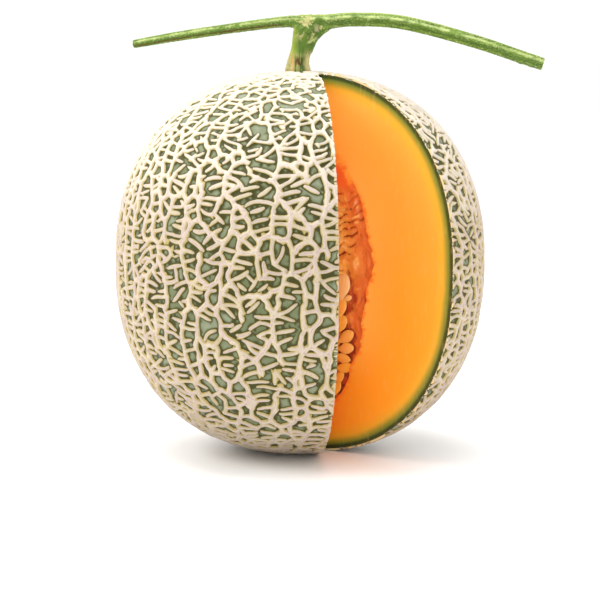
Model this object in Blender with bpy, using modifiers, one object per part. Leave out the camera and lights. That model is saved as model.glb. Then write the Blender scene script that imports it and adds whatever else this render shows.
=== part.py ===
"""A netted musk melon with one wedge cut out of it, standing on a small flat spot.

Three pieces: the fruit with its raised net, the T-shaped stem it was picked with,
and the seeds in their pulp, which fill the middle and show where the wedge is gone.
Metres, +Z up. The fruit's axis is Z, and the origin is the middle of the flat spot.
Azimuths are measured at the axis, in degrees, from the front (-Y) towards the right (+X).
"""

import math
import random

import bmesh
import bpy
import numpy as np
from mathutils import Vector

# The fruit, over the crests of its net
FRUIT_WIDTH = 0.150
FRUIT_HEIGHT = 0.1560
PROFILE_POWER = 2.28
REST_RADIUS = 0.017

# The net
NET_CELLS = 780
NET_SEED = 11
NET_CANDIDATES = 60
NET_HEIGHT = 0.0013
RIDGE_HALF_WIDTH = 0.0014
SHORTEST_STRAND = 0.0018
DROPPED_STRANDS = 0.30
LARGEST_CELL = 1.75
SHARP_ANGLE = 0.9

# The wedge that was cut out, from an upright edge beside the stem
WEDGE_APEX = (0.0063, -0.0025)
WEDGE_FROM = 7.0
WEDGE_TO = 51.5
WEDGE_REACH = 0.15
WEDGE_HALF_HEIGHT = 0.10

# The hollow in the middle, and the pulp that fills it
CAVITY_RADIUS = 0.0370
CAVITY_HALF_HEIGHT = 0.0530
CAVITY_DROP = 0.0040
CAVITY_POWER = 1.9
CAVITY_ROWS = 14
CAVITY_STEPS = 24
PULP_GAP = 0.0004
PULP_RECESS = 0.0018
PULP_CUTS = 9
PULP_LUMP = 0.0005

# The seeds that stand out of the pulp where the wedge has bared it
SEED_LENGTH = 0.0100
SEED_WIDTH = 0.0046
SEED_THICKNESS = 0.0028
SEED_TAPER = 0.30
SEED_SPACING = 0.0098
SEED_ROW_HEIGHT = 0.0058
SEED_STANDS_OUT = 0.0005
SEED_EDGE = 0.0012
SEED_SHIFT = 0.0009
SEED_TILT = 0.35
SEED_SIZES = (0.85, 1.08)
SEED_RANDOM = 5

# The stem: a stalk in a shallow socket, under a stretch of vine
STEM_X = -0.0005
SOCKET_RADIUS = 0.0058
SOCKET_DEPTH = 0.0022
STEM_GAP = 0.0003
STEM_RIDGES = 5
STEM_RIDGE_DEPTH = 0.09
VINE_TWIST = 0.06

# Its stations are (x, y, height over the fruit's top, radius)
VINE = [
    (-0.0680, 0.0070, 0.0100, 0.0019),
    (-0.0480, 0.0050, 0.0135, 0.0022),
    (-0.0260, 0.0025, 0.0167, 0.0023),
    (-0.0060, 0.0000, 0.0190, 0.0025),
    (0.0030, 0.0000, 0.0187, 0.0033),
    (0.0110, -0.0010, 0.0189, 0.0033),
    (0.0225, -0.0030, 0.0197, 0.0030),
    (0.0420, -0.0055, 0.0183, 0.0030),
    (0.0700, -0.0085, 0.0111, 0.0029),
    (0.0970, -0.0110, 0.0020, 0.0029),
]
STALK = [
    (STEM_X, 0, STEM_GAP - SOCKET_DEPTH, 0.0050),
    (STEM_X, 0, 0.0002, 0.0050),
    (STEM_X - 0.0004, 0, 0.0026, 0.0045),
    (STEM_X + 0.0004, 0, 0.0059, 0.0043),
    (STEM_X + 0.0010, 0, 0.0089, 0.0042),
    (STEM_X + 0.0030, 0, 0.0159, 0.0047),
    (STEM_X + 0.0042, 0, 0.0186, 0.0036),
]
STALK_WEB = [
    (0.0020, 0, 0.0084, 0.0034),
    (0.0075, -0.0004, 0.0148, 0.0034),
    (0.0135, -0.0012, 0.0180, 0.0026),
]

HALF_WIDTH = FRUIT_WIDTH / 2
HALF_HEIGHT = FRUIT_HEIGHT / 2
CENTRE_Z = HALF_HEIGHT * (1 - (REST_RADIUS / HALF_WIDTH) ** PROFILE_POWER) ** (1 / PROFILE_POWER)
FRUIT_TOP = CENTRE_Z + HALF_HEIGHT
CAVITY_Z = CENTRE_Z - CAVITY_DROP


def clear_scene():
    for old in list(bpy.data.objects):
        bpy.data.objects.remove(old)


def new_collection(name):
    made = bpy.data.collections.new(name)
    bpy.context.scene.collection.children.link(made)
    return made


def material(name, colour, roughness):
    made = bpy.data.materials.new(name)
    made.use_nodes = True
    shader = made.node_tree.nodes["Principled BSDF"]
    shader.inputs["Base Color"].default_value = (*colour, 1)
    shader.inputs["Roughness"].default_value = roughness
    shader.inputs["Metallic"].default_value = 0
    return made


def mesh_object(name, bm, collection, *materials):
    mesh = bpy.data.meshes.new(name)
    bm.to_mesh(mesh)
    bm.free()
    made = bpy.data.objects.new(name, mesh)
    for finish in materials:
        mesh.materials.append(finish)
    collection.objects.link(made)
    return made


def shade_smooth(bm):
    """Smooth shading, but across no edge that turns a long way."""
    for face in bm.faces:
        face.smooth = True
    for edge in bm.edges:
        edge.smooth = len(edge.link_faces) == 2 and edge.calc_face_angle() < SHARP_ANGLE


def as_helper(obj):
    """A cutter or a piece that is fused into another: kept out of the model."""
    obj.hide_render = True
    obj.display_type = "WIRE"
    return obj


def boolean(obj, operation, other=None, collection=None):
    modifier = obj.modifiers.new(operation.title(), "BOOLEAN")
    modifier.operation = operation
    modifier.solver = "EXACT"
    modifier.material_mode = "TRANSFER"
    if collection is None:
        modifier.object = other
    else:
        modifier.operand_type = "COLLECTION"
        modifier.collection = collection


def apply_modifiers(obj):
    graph = bpy.context.evaluated_depsgraph_get()
    obj.data = bpy.data.meshes.new_from_object(obj.evaluated_get(graph))
    obj.modifiers.clear()


def fuse_all(obj, pieces):
    """Joins everything in the collection onto the object, and takes the collection away."""
    boolean(obj, "UNION", collection=pieces)
    apply_modifiers(obj)
    for piece in list(pieces.objects):
        bpy.data.objects.remove(piece)
    bpy.data.collections.remove(pieces)


def heading(azimuth):
    """The level direction at that azimuth."""
    angle = math.radians(azimuth)
    return Vector((math.sin(angle), -math.cos(angle), 0))


def superellipse(direction, half_width, half_height, power):
    """How far a turned superellipse reaches along that unit direction from its middle."""
    level = math.hypot(direction.x, direction.y) / half_width
    upright = abs(direction.z) / half_height
    return (level**power + upright**power) ** (-1 / power)


# The fruit


def net_stretch(z):
    """How much wider than tall the net's cells are at that height on the unit sphere.

    They are tall round the belly and below it, and lie flat round the shoulder.
    """
    shoulder = min(max((z - 0.35) / 0.45, 0), 1)
    return 0.78 + 0.75 * shoulder


def net_cell_directions():
    """One unit direction for each cell, spread by keeping the loneliest of some random candidates."""
    rng = np.random.default_rng(NET_SEED)
    taken = np.zeros((0, 3))
    while len(taken) < NET_CELLS:
        candidates = rng.normal(size=(NET_CANDIDATES, 3))
        candidates /= np.linalg.norm(candidates, axis=1, keepdims=True)
        if len(taken):
            apart = candidates[:, None, :] - taken[None, :, :]
            stretch = np.array([net_stretch(z) for z in candidates[:, 2]])[:, None]
            nearest = np.sqrt(
                (apart[:, :, 0] ** 2 + apart[:, :, 1] ** 2) / stretch + apart[:, :, 2] ** 2 * stretch
            ).min(axis=1)
            chosen = candidates[nearest.argmax()]
        else:
            chosen = candidates[0]
        taken = np.vstack([taken, chosen])
    return [Vector(row) for row in taken]


def faces_in_turn(vert):
    """The faces round a vertex, in the order in which they lie round it."""
    across = vert.normal.orthogonal().normalized()
    along = vert.normal.cross(across)

    def turn(face):
        out = face.calc_center_median() - vert.co
        return math.atan2(out.dot(along), out.dot(across))

    return sorted(vert.link_faces, key=turn)


def net_polygons():
    """The net laid out on the fruit: a closed mesh with one face for each cell.

    The cells are the Voronoi regions of the directions. The hull of the directions joins
    each to its neighbours, and the normals of its faces are the regions' corners.
    """
    hull = bmesh.new()
    for direction in net_cell_directions():
        hull.verts.new(direction)
    bmesh.ops.convex_hull(hull, input=hull.verts)
    hull.normal_update()
    cells = bmesh.new()
    corner = {}
    for face in hull.faces:
        out = face.normal
        reach = superellipse(out, HALF_WIDTH, HALF_HEIGHT, PROFILE_POWER)
        corner[face.index] = cells.verts.new(out * reach + Vector((0, 0, CENTRE_Z)))
    for vert in hull.verts:
        if len(vert.link_faces) > 2:
            cells.faces.new([corner[face.index] for face in faces_in_turn(vert)])
    hull.free()
    bmesh.ops.remove_doubles(cells, verts=cells.verts, dist=SHORTEST_STRAND)
    bmesh.ops.recalc_face_normals(cells, faces=cells.faces)
    return cells


def drop_strands(cells):
    """Takes out some strands between small cells, so that two sizes of cell lie side by side."""
    rng = random.Random(NET_SEED)
    mean_area = sum(face.calc_area() for face in cells.faces) / len(cells.faces)
    merged = set()
    dropped = []
    for edge in list(cells.edges):
        two = set(edge.link_faces)
        area = sum(face.calc_area() for face in two)
        if rng.random() < DROPPED_STRANDS and area < LARGEST_CELL * mean_area and not two & merged:
            merged |= two
            dropped.append(edge)
    bmesh.ops.dissolve_edges(cells, edges=dropped, use_verts=True)


def press_flat(cells):
    """Presses the fruit's underside onto the ground: one flat spot round the axis, nothing below it."""
    for vert in cells.verts:
        resting = vert.co.z < CENTRE_Z and math.hypot(vert.co.x, vert.co.y) < REST_RADIUS
        if resting or vert.co.z < 0:
            vert.co.z = 0
    pressed = [face for face in cells.faces if all(vert.co.z == 0 for vert in face.verts)]
    bmesh.ops.dissolve_faces(cells, faces=pressed, use_verts=True)


def cavity_reach(height):
    """The hollow's radius at that height above its middle."""
    upright = min(abs(height) / CAVITY_HALF_HEIGHT, 1)
    return CAVITY_RADIUS * (1 - upright**CAVITY_POWER) ** (1 / CAVITY_POWER)


def wedge_prism(name, apex, reach, half_height, cuts, lump, collection, finish):
    """The prism between the two knife cuts, from an upright edge at the apex out past the rind.

    With cuts, its sides are divided, and moved about at random by up to the lump.
    """
    rng = random.Random(SEED_RANDOM)
    low = apex - Vector((0, 0, half_height))
    bm = bmesh.new()
    corners = [low, low + heading(WEDGE_FROM) * reach, low + heading(WEDGE_TO) * reach]
    base = bm.faces.new([bm.verts.new(corner) for corner in corners])
    risen = bmesh.ops.extrude_face_region(bm, geom=[base])
    tops = [item for item in risen["geom"] if isinstance(item, bmesh.types.BMVert)]
    bmesh.ops.translate(bm, verts=tops, vec=(0, 0, 2 * half_height))
    if cuts:
        bmesh.ops.subdivide_edges(bm, edges=bm.edges[:], cuts=cuts, use_grid_fill=True)
        bmesh.ops.triangulate(bm, faces=bm.faces[:])
        for vert in bm.verts:
            vert.co += Vector([rng.uniform(-lump, lump) for _ in range(3)])
    bmesh.ops.recalc_face_normals(bm, faces=bm.faces)
    return as_helper(mesh_object(name, bm, collection, finish))


def turned(name, profile, steps, collection, *materials):
    """A solid turned round the Z axis from a profile of (radius, z) points, its ends on the axis."""
    bm = bmesh.new()
    verts = [bm.verts.new((across, 0, z)) for across, z in profile]
    for above, below in zip(verts, verts[1:]):
        bm.edges.new((above, below))
    made = mesh_object(name, bm, collection, *materials)
    screw = made.modifiers.new("Turn", "SCREW")
    screw.steps = screw.render_steps = steps
    screw.use_merge_vertices = True
    screw.merge_threshold = 1e-6
    apply_modifiers(made)
    solid = bmesh.new()
    solid.from_mesh(made.data)
    bmesh.ops.recalc_face_normals(solid, faces=solid.faces)
    shade_smooth(solid)
    solid.to_mesh(made.data)
    solid.free()
    return made


def cavity_profile(gap):
    """The spindle-shaped hollow from top to bottom, drawn in by a gap."""
    profile = []
    for row in range(CAVITY_ROWS + 1):
        polar = math.pi * row / CAVITY_ROWS
        direction = Vector((math.sin(polar), 0, math.cos(polar)))
        reach = superellipse(direction, CAVITY_RADIUS - gap, CAVITY_HALF_HEIGHT - gap, CAVITY_POWER)
        across = 0 if row in (0, CAVITY_ROWS) else direction.x * reach
        profile.append((across, CAVITY_Z + direction.z * reach))
    return profile


def fruit(collection, cutters, rind, flesh):
    """The fruit in one piece: the net stands up between the sunken cells, and the cuts are flesh."""
    cells = net_polygons()
    drop_strands(cells)
    bmesh.ops.inset_individual(
        cells, faces=cells.faces[:], thickness=RIDGE_HALF_WIDTH, depth=-NET_HEIGHT, use_even_offset=True
    )
    press_flat(cells)
    bmesh.ops.triangulate(cells, faces=[face for face in cells.faces if len(face.verts) > 3])
    shade_smooth(cells)
    melon = mesh_object("melon", cells, collection, rind)
    apex = Vector((*WEDGE_APEX, CENTRE_Z))
    wedge = wedge_prism("wedge_cutter", apex, WEDGE_REACH, WEDGE_HALF_HEIGHT, 0, 0, cutters, flesh)
    cavity = as_helper(turned("cavity_cutter", cavity_profile(0), CAVITY_STEPS, cutters, flesh))
    floor, mouth = FRUIT_TOP - SOCKET_DEPTH, FRUIT_TOP + SOCKET_DEPTH
    outline = [(0, mouth), (SOCKET_RADIUS, mouth), (SOCKET_RADIUS, floor), (0, floor)]
    socket = as_helper(turned("socket_cutter", outline, 20, cutters, flesh))
    socket.location.x = STEM_X
    for cutter in (cavity, wedge, socket):
        boolean(melon, "DIFFERENCE", cutter)


# The stem


def smooth_path(stations, steps):
    """Points and radii along a Catmull-Rom curve through the stations."""
    rows = [Vector(station) for station in stations]
    rows = [2 * rows[0] - rows[1], *rows, 2 * rows[-1] - rows[-2]]
    path = []
    for a, b, c, d in zip(rows, rows[1:], rows[2:], rows[3:]):
        for step in range(steps):
            t = step / steps
            bend = 2 * a - 5 * b + 4 * c - d
            twist = 3 * b - a - 3 * c + d
            path.append(0.5 * (2 * b + (c - a) * t + bend * t**2 + twist * t**3))
    return [*path, rows[-2]]


def swept(name, stations, steps, twist, collection, finish):
    """A ridged stretch of stem along the stations, its ends cut square."""
    path = smooth_path(stations, steps)
    points = [Vector((row[0], row[1], row[2] + FRUIT_TOP)) for row in path]
    bm = bmesh.new()
    rings = []
    side = None
    for i, point in enumerate(points):
        ahead = (points[min(i + 1, len(points) - 1)] - points[max(i - 1, 0)]).normalized()
        side = side or ahead.orthogonal()
        side = (side - ahead * side.dot(ahead)).normalized()
        up = ahead.cross(side)
        ring = []
        for k in range(2 * STEM_RIDGES):
            angle = math.pi * k / STEM_RIDGES + twist * i
            reach = path[i][3] * (1 + (STEM_RIDGE_DEPTH if k % 2 else -STEM_RIDGE_DEPTH))
            ring.append(bm.verts.new(point + (side * math.cos(angle) + up * math.sin(angle)) * reach))
        rings.append(ring)
    for low, high in zip(rings, rings[1:]):
        for k in range(len(low)):
            bm.faces.new((low[k - 1], low[k], high[k], high[k - 1]))
    bm.faces.new(rings[0])
    bm.faces.new(rings[-1])
    bmesh.ops.recalc_face_normals(bm, faces=bm.faces)
    shade_smooth(bm)
    return mesh_object(name, bm, collection, finish)


def stem(collection, finish):
    """The vine with its stalk, and with the web that runs down from its right arm into the stalk."""
    made = swept("stem", VINE, 2, VINE_TWIST, collection, finish)
    pieces = new_collection("stem_pieces")
    swept("stalk", STALK, 2, 0, pieces, finish)
    swept("web", STALK_WEB, 2, 0, pieces, finish)
    fuse_all(made, pieces)


# The seeds and their pulp


def seed(place, out, along, size, collection, finish):
    """One seed: a flat drop, its long way along, its broad side facing out."""
    bm = bmesh.new()
    bmesh.ops.create_uvsphere(bm, u_segments=6, v_segments=5, radius=size / 2)
    side = along.cross(out).normalized()
    for vert in bm.verts:
        x, y, z = vert.co
        taper = 1 + SEED_TAPER * 2 * z / size
        vert.co = place + taper * (side * x * SEED_WIDTH + out * y * SEED_THICKNESS) + along * z * SEED_LENGTH
    bmesh.ops.recalc_face_normals(bm, faces=bm.faces)
    shade_smooth(bm)
    mesh_object("seed", bm, collection, finish)


def sow(apex, azimuth, outwards, collection, finish):
    """Seeds all over one of the pulp's two bared sides, in staggered rows that wander a little."""
    rng = random.Random(SEED_RANDOM + round(azimuth))
    level = heading(azimuth)
    upright = Vector((0, 0, 1))
    rows = int(2 * CAVITY_HALF_HEIGHT / SEED_ROW_HEIGHT)
    for row in range(rows + 1):
        height = (row - rows / 2) * SEED_ROW_HEIGHT
        room = cavity_reach(abs(height) + SEED_WIDTH) - SEED_EDGE
        across = SEED_LENGTH / 2 + (row % 2) * SEED_SPACING / 2
        while (apex + level * (across + 0.6 * SEED_LENGTH)).xy.length < room:
            shift = level * rng.uniform(-SEED_SHIFT, SEED_SHIFT) + upright * rng.uniform(-SEED_SHIFT, SEED_SHIFT)
            place = apex + level * across + upright * height + outwards * SEED_STANDS_OUT + shift
            tilt = rng.uniform(-SEED_TILT, SEED_TILT)
            along = level * math.cos(tilt) + upright * math.sin(tilt)
            lean = rng.uniform(-SEED_TILT, SEED_TILT)
            out = outwards * math.cos(lean) + along.cross(outwards) * math.sin(lean)
            seed(place, out, along, rng.uniform(*SEED_SIZES), collection, finish)
            across += SEED_SPACING


def seeds(collection, cutters, finish):
    """The pulp, a little behind the knife cuts and uneven there, with the seeds that stand out of it."""
    made = turned("seeds", cavity_profile(PULP_GAP), CAVITY_STEPS, collection, finish)
    middle = (heading(WEDGE_FROM) + heading(WEDGE_TO)).normalized()
    half_angle = math.radians(WEDGE_TO - WEDGE_FROM) / 2
    apex = Vector((*WEDGE_APEX, CAVITY_Z)) - middle * PULP_RECESS / math.sin(half_angle)
    reach, half_height = 2 * CAVITY_RADIUS, 1.3 * CAVITY_HALF_HEIGHT
    boolean(made, "DIFFERENCE", wedge_prism(
        "pulp_cutter", apex, reach, half_height, PULP_CUTS, PULP_LUMP, cutters, finish
    ))
    apply_modifiers(made)
    pieces = new_collection("seed_pieces")
    sow(apex, WEDGE_FROM, heading(WEDGE_FROM + 90), pieces, finish)
    sow(apex, WEDGE_TO, heading(WEDGE_TO - 90), pieces, finish)
    fuse_all(made, pieces)


def main():
    clear_scene()
    parts = new_collection("musk_melon")
    cutters = new_collection("cutters")
    rind = material("netted_rind", (0.56, 0.53, 0.38), 0.7)
    flesh = material("orange_flesh", (1.0, 0.39, 0.06), 0.45)
    pulp = material("seed_pulp", (0.60, 0.17, 0.04), 0.35)
    green = material("stem_green", (0.22, 0.31, 0.06), 0.6)
    fruit(parts, cutters, rind, flesh)
    seeds(parts, cutters, pulp)
    stem(parts, green)


main()
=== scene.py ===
"""A netted musk melon with one wedge cut out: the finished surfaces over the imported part.

The rind carries its raised net as strands of cork, the two knife cuts show the flesh, the
hollow shows its pulp and seeds, and the stalk stands under its stretch of vine. Metres, +Z up,
in the part's own frame: the fruit's axis is Z and the origin is the middle of its flat spot.
"""

import math
import random

import bmesh
import bpy
import numpy as np
from bpy.props import FloatProperty, FloatVectorProperty, IntProperty, PointerProperty
from bpy.types import Operator, Panel, PropertyGroup
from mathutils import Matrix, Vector, noise
from mathutils.geometry import delaunay_2d_cdt
from mathutils.kdtree import KDTree


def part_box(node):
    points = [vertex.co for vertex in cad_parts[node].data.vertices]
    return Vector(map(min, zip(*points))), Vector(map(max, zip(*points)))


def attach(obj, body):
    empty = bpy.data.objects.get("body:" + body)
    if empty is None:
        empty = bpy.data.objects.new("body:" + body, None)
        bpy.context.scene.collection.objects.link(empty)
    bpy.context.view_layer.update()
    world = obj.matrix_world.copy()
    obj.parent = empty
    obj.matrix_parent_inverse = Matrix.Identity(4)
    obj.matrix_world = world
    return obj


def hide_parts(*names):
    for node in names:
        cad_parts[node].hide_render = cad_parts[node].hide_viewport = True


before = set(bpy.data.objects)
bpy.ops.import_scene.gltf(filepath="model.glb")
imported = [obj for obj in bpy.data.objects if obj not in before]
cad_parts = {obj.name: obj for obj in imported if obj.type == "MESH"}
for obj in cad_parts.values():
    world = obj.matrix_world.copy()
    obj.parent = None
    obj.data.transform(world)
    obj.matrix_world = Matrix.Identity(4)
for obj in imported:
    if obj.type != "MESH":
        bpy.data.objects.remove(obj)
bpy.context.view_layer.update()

bl_info = {
    "name": "Netted Musk Melon",
    "version": (1, 0, 0),
    "blender": (4, 5, 0),
    "location": "View3D > Sidebar > Melon",
    "description": "Builds a netted musk melon with a wedge cut out, its stem and its studio",
    "category": "Object",
}

FRUIT_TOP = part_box("melon")[1].z
GOLDEN_ANGLE = math.pi * (3 - math.sqrt(5))
UP = np.array([0.0, 0.0, 1.0])
LEVEL = np.array([1.0, 1.0, 0.0])

# The kind of triangulation that keeps to the inside of its loop
INSIDE_LOOP = 1

# Points closer than this, in metres, are joined where two parts of a mesh meet
JOIN_REACH = 3e-5

# The fruit's material slot for its flesh, and the angle from which edges in it stay sharp
FLESH_SLOT = 1
SHARP_TURN = 0.8

# How softly the pulp's front turns from one cut to the other, in metres
PULP_BEND = 0.0026

# The stem: distance between stations of its smooth path, points round its outline, and ribs
STEM_STEP = 0.0006
RING_POINTS = 40
RIBS = 5

# The hollow's side: its reach at levels from its foot (-1) to its top (1)
HOLLOW_STATIONS = (
    (-1.0, 0.0),
    (-0.95, 0.34),
    (-0.86, 0.45),
    (-0.79, 0.53),
    (-0.66, 0.56),
    (-0.58, 0.69),
    (-0.44, 0.74),
    (-0.30, 0.73),
    (-0.18, 0.81),
    (-0.09, 0.79),
    (0.02, 0.92),
    (0.10, 0.91),
    (0.20, 0.88),
    (0.39, 0.78),
    (0.55, 0.73),
    (0.66, 0.63),
    (0.80, 0.49),
    (0.93, 0.30),
    (1.0, 0.0),
)

# Seeds that show: place along the second cut, height, length, width, tilt in degrees, paleness
FRONT_SEEDS = (
    (0.0128, 0.0673, 0.0114, 0.0074, 86, 1.0),
    (0.0123, 0.0590, 0.0090, 0.0052, 78, 0.3),
    (0.0121, 0.0520, 0.0082, 0.0054, 62, 0.2),
    (0.0147, 0.0470, 0.0092, 0.0050, 30, 0.4),
    (0.0147, 0.0424, 0.0086, 0.0046, 11, 0.45),
    (0.0130, 0.0384, 0.0082, 0.0040, -8, 0.3),
    (0.0141, 0.0345, 0.0084, 0.0044, 10, 0.0),
    (0.0113, 0.0300, 0.0070, 0.0040, 50, 0.1),
    (0.0104, 0.0259, 0.0066, 0.0038, 72, 0.0),
    (0.0162, 0.0630, 0.0036, 0.0024, 20, 0.6),
)


def linear(*levels):
    """A colour in linear light from its 0 to 255 display levels."""
    shares = [level / 255 for level in levels]
    return tuple(v / 12.92 if v <= 0.04045 else ((v + 0.055) / 1.055) ** 2.4 for v in shares)


def number_property(label, description, default):
    return FloatProperty(name=label, description=description, default=default)


def count_property(label, description, default):
    return IntProperty(name=label, description=description, default=default)


def size_property(label, description, default):
    return FloatProperty(
        name=label, description=description, default=default, unit="LENGTH", precision=4
    )


def colour_property(label, description, *levels):
    default = linear(*levels)
    return FloatVectorProperty(
        name=label, description=description, default=default, size=3, subtype="COLOR"
    )


class MelonFruit(PropertyGroup):
    """The fruit's outline, the two knife cuts and the flesh they bare."""

    width: size_property("Width", "Across the fruit over its net", 0.1504)
    height: size_property("Height", "From end to end over the net, before the flat spot", 0.1552)
    middle: size_property("Middle", "From the packed fruit's top down to its middle", 0.0782)
    roundness: number_property("Roundness", "Power of the outline; 2 is an ellipse", 2.28)
    apex_x: size_property("Cut edge X", "Where the two cuts meet", 0.0063)
    apex_y: size_property("Cut edge Y", "Where the two cuts meet", -0.0025)
    cut_from: number_property("First cut", "Azimuth in degrees, from the front to the right", 6.7)
    cut_to: number_property("Second cut", "Azimuth in degrees, from the front to the right", 51.5)
    hollow_reach: size_property("Hollow reach", "From the cut edge to the hollow's side", 0.0320)
    hollow_height: size_property("Hollow half height", "From the hollow's middle to its top", 0.0540)
    hollow_drop: size_property("Hollow drop", "How far its middle is under the fruit's", 0.0040)
    flesh: colour_property("Flesh", "Upper flesh", 255, 171, 64)
    flesh_low: colour_property("Low flesh", "Flesh towards the foot", 255, 166, 40)
    flesh_rim: colour_property("Rim flesh", "Yellow flesh near the rind", 236, 178, 48)
    green: colour_property("Green", "Green band under the rind", 118, 132, 44)
    dark_green: colour_property("Dark green", "Dark line at the rind", 46, 62, 14)
    # Deep flesh: painted light, flesh made lighter near where the cuts meet against the shade in the
    # wedge
    flesh_painted_light: colour_property("Deep flesh", "Flesh near where the cuts meet", 255, 232, 124)
    cork: colour_property("Cut cork", "The net's cut strands", 222, 205, 160)
    blush: colour_property("Blush", "Redder flesh round the hollow", 255, 136, 50)


class MelonNet(PropertyGroup):
    """The cork net and the skin between its strands."""

    seed: count_property("Seed", "Another number grows another net", 7)
    cells: count_property("Cells", "Number of large cells before finer strands", 1650)
    upright: number_property("Upright", "How much taller than wide cells are at the belly", 0.24)
    rungs_dropped: number_property("Rungs dropped", "Share of level strands left out", 0.45)
    level_twigs: number_property("Level rungs", "How level finer strands lie", 1.0)
    twigs: count_property("Twigs", "Places tried for a finer strand across a gap", 16000)
    main_width: size_property("Main strands", "Width of a main strand", 0.0021)
    twig_width: size_property("Fine strands", "Width of a finer strand", 0.0017)
    strand_height: size_property("Strand height", "How far a main strand stands up", 0.00115)
    clearance: size_property("Clearance", "Least distance from a new strand to its neighbours", 0.0018)
    cork: colour_property("Cork", "Top of a strand", 202, 188, 170)
    # Painted highlight: paler cork on the strands' tops over the shoulder, where the light from above
    # falls
    cork_top_highlight: colour_property("Pale cork", "Drier cork over the shoulder", 232, 224, 208)
    cork_pink: colour_property("Pink cork", "Fresh cork along a strand's middle", 196, 178, 167)
    # Cork edge: the strands' own yellow sides, darkened as painted shade of their rounding
    cork_edge_and_shade: colour_property("Cork edge", "Side of a strand", 174, 153, 88)
    # Painted shade: the dark line at each strand's foot
    foot_shade: colour_property("Groove", "Dark line at a strand's foot", 61, 61, 16)
    skin: colour_property("Skin", "Skin between the strands", 102, 110, 74)
    # Pale skin: bloom on the skin, and painted sheen where the skin lies away from the strands
    skin_pale_and_sheen: colour_property("Pale skin", "Bloom on the skin", 141, 146, 122)


class MelonCore(PropertyGroup):
    """The wet pulp in the hollow, and the seeds in it."""

    seed: count_property("Seed", "Another number folds the pulp another way", 3)
    seed_length: size_property("Seed length", "Length of one seed", 0.0100)
    seed_width: size_property("Seed width", "Width of one seed", 0.0043)
    seed_thickness: size_property("Seed thickness", "Thickness of one seed", 0.0019)
    pulp: colour_property("Pulp", "Pulp on the folds", 246, 180, 84)
    # Pale pulp: painted highlight on the crests of the folds
    pulp_highlight: colour_property("Pale pulp", "Bright crests of the folds", 255, 212, 130)
    pulp_red: colour_property("Red pulp", "Redder pulp", 228, 130, 66)
    # Dark pulp: painted shade between the folds
    pulp_furrow_shade: colour_property("Dark pulp", "Between the folds", 166, 70, 30)
    # Seed bed: painted shade, deep maroon in the pulp between the seeds
    bed: colour_property("Seed bed", "Deep maroon between the seeds", 186, 80, 50)
    flesh: colour_property("Upper pulp", "Smooth pulp at the hollow's top", 255, 180, 72)
    blush: colour_property("Upper blush", "Redder patches on it", 240, 112, 52)
    husk: colour_property("Husk", "Seeds under their film", 255, 186, 70)
    husk_pale: colour_property("Pale husk", "Bare seeds", 255, 210, 140)


class MelonStem(PropertyGroup):
    """The stalk and its stretch of vine."""

    green: colour_property("Green", "Sides of the vine", 104, 132, 44)
    # Pale green: the vine's pale flecks and spur, and the painted highlight along its ridge near the
    # top
    pale: colour_property("Pale green", "Ridges of the vine", 190, 202, 130)
    # Dark green: dark mottling, the darker stalk, and the painted shade along the vine's lower middle
    dark: colour_property("Dark green", "Furrows of the vine", 70, 98, 28)
    # Yellow green: painted light on the stalk's left side and along the vine's top edge
    lit: colour_property("Yellow green", "The stalk's fresh side", 156, 172, 60)
    corky: colour_property("Corky", "Cream cork low on the stalk", 204, 188, 130)
    brown: colour_property("Brown", "Dry streaks and furrows", 84, 58, 14)
    scar: colour_property("Scar", "Where a leaf was", 176, 164, 128)
    rust: colour_property("Rust", "Orange tan marks beside the cork", 206, 150, 76)
    pith: colour_property("Pith", "Cut ends", 196, 190, 132)


class MelonStudio(PropertyGroup):
    """The camera, the lights and the floor."""

    distance: size_property("Camera distance", "From the fruit's middle to the camera", 0.877)
    elevation: number_property("Elevation", "Camera's height angle in degrees", 5.5)
    lens: number_property("Lens", "Focal length in millimetres", 129.0)
    aim_below: number_property("Aim", "Degrees that the camera aims under the middle", 1.013)
    key: number_property("Key light", "Power in watts", 14.0)
    front: number_property("Front light", "Power in watts", 2.4)
    top: number_property("Top light", "Power in watts", 18.0)
    side: number_property("Side light", "Power in watts", 4.0)
    room: number_property("Room light", "Strength of the light from all round", 1.05)
    floor: colour_property("Floor", "Plain pale floor", 250, 250, 250)


class Signal:
    """A shader socket that takes part in arithmetic: an expression on it adds its Math nodes."""

    def __init__(self, paint, socket):
        self.paint = paint
        self.socket = socket

    def __neg__(self):
        return self * -1

    def __add__(self, other):
        return self.paint.math("ADD", self, other)

    def __sub__(self, other):
        return self.paint.math("SUBTRACT", self, other)

    def __rsub__(self, other):
        return self.paint.math("SUBTRACT", other, self)

    def __mul__(self, other):
        return self.paint.math("MULTIPLY", self, other)

    def __truediv__(self, other):
        return self.paint.math("DIVIDE", self, other)

    def __rtruediv__(self, other):
        return self.paint.math("DIVIDE", other, self)

    def __pow__(self, other):
        return self.paint.math("POWER", self, other)

    def __rpow__(self, other):
        return self.paint.math("POWER", other, self)

    __radd__ = __add__
    __rmul__ = __mul__


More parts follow.
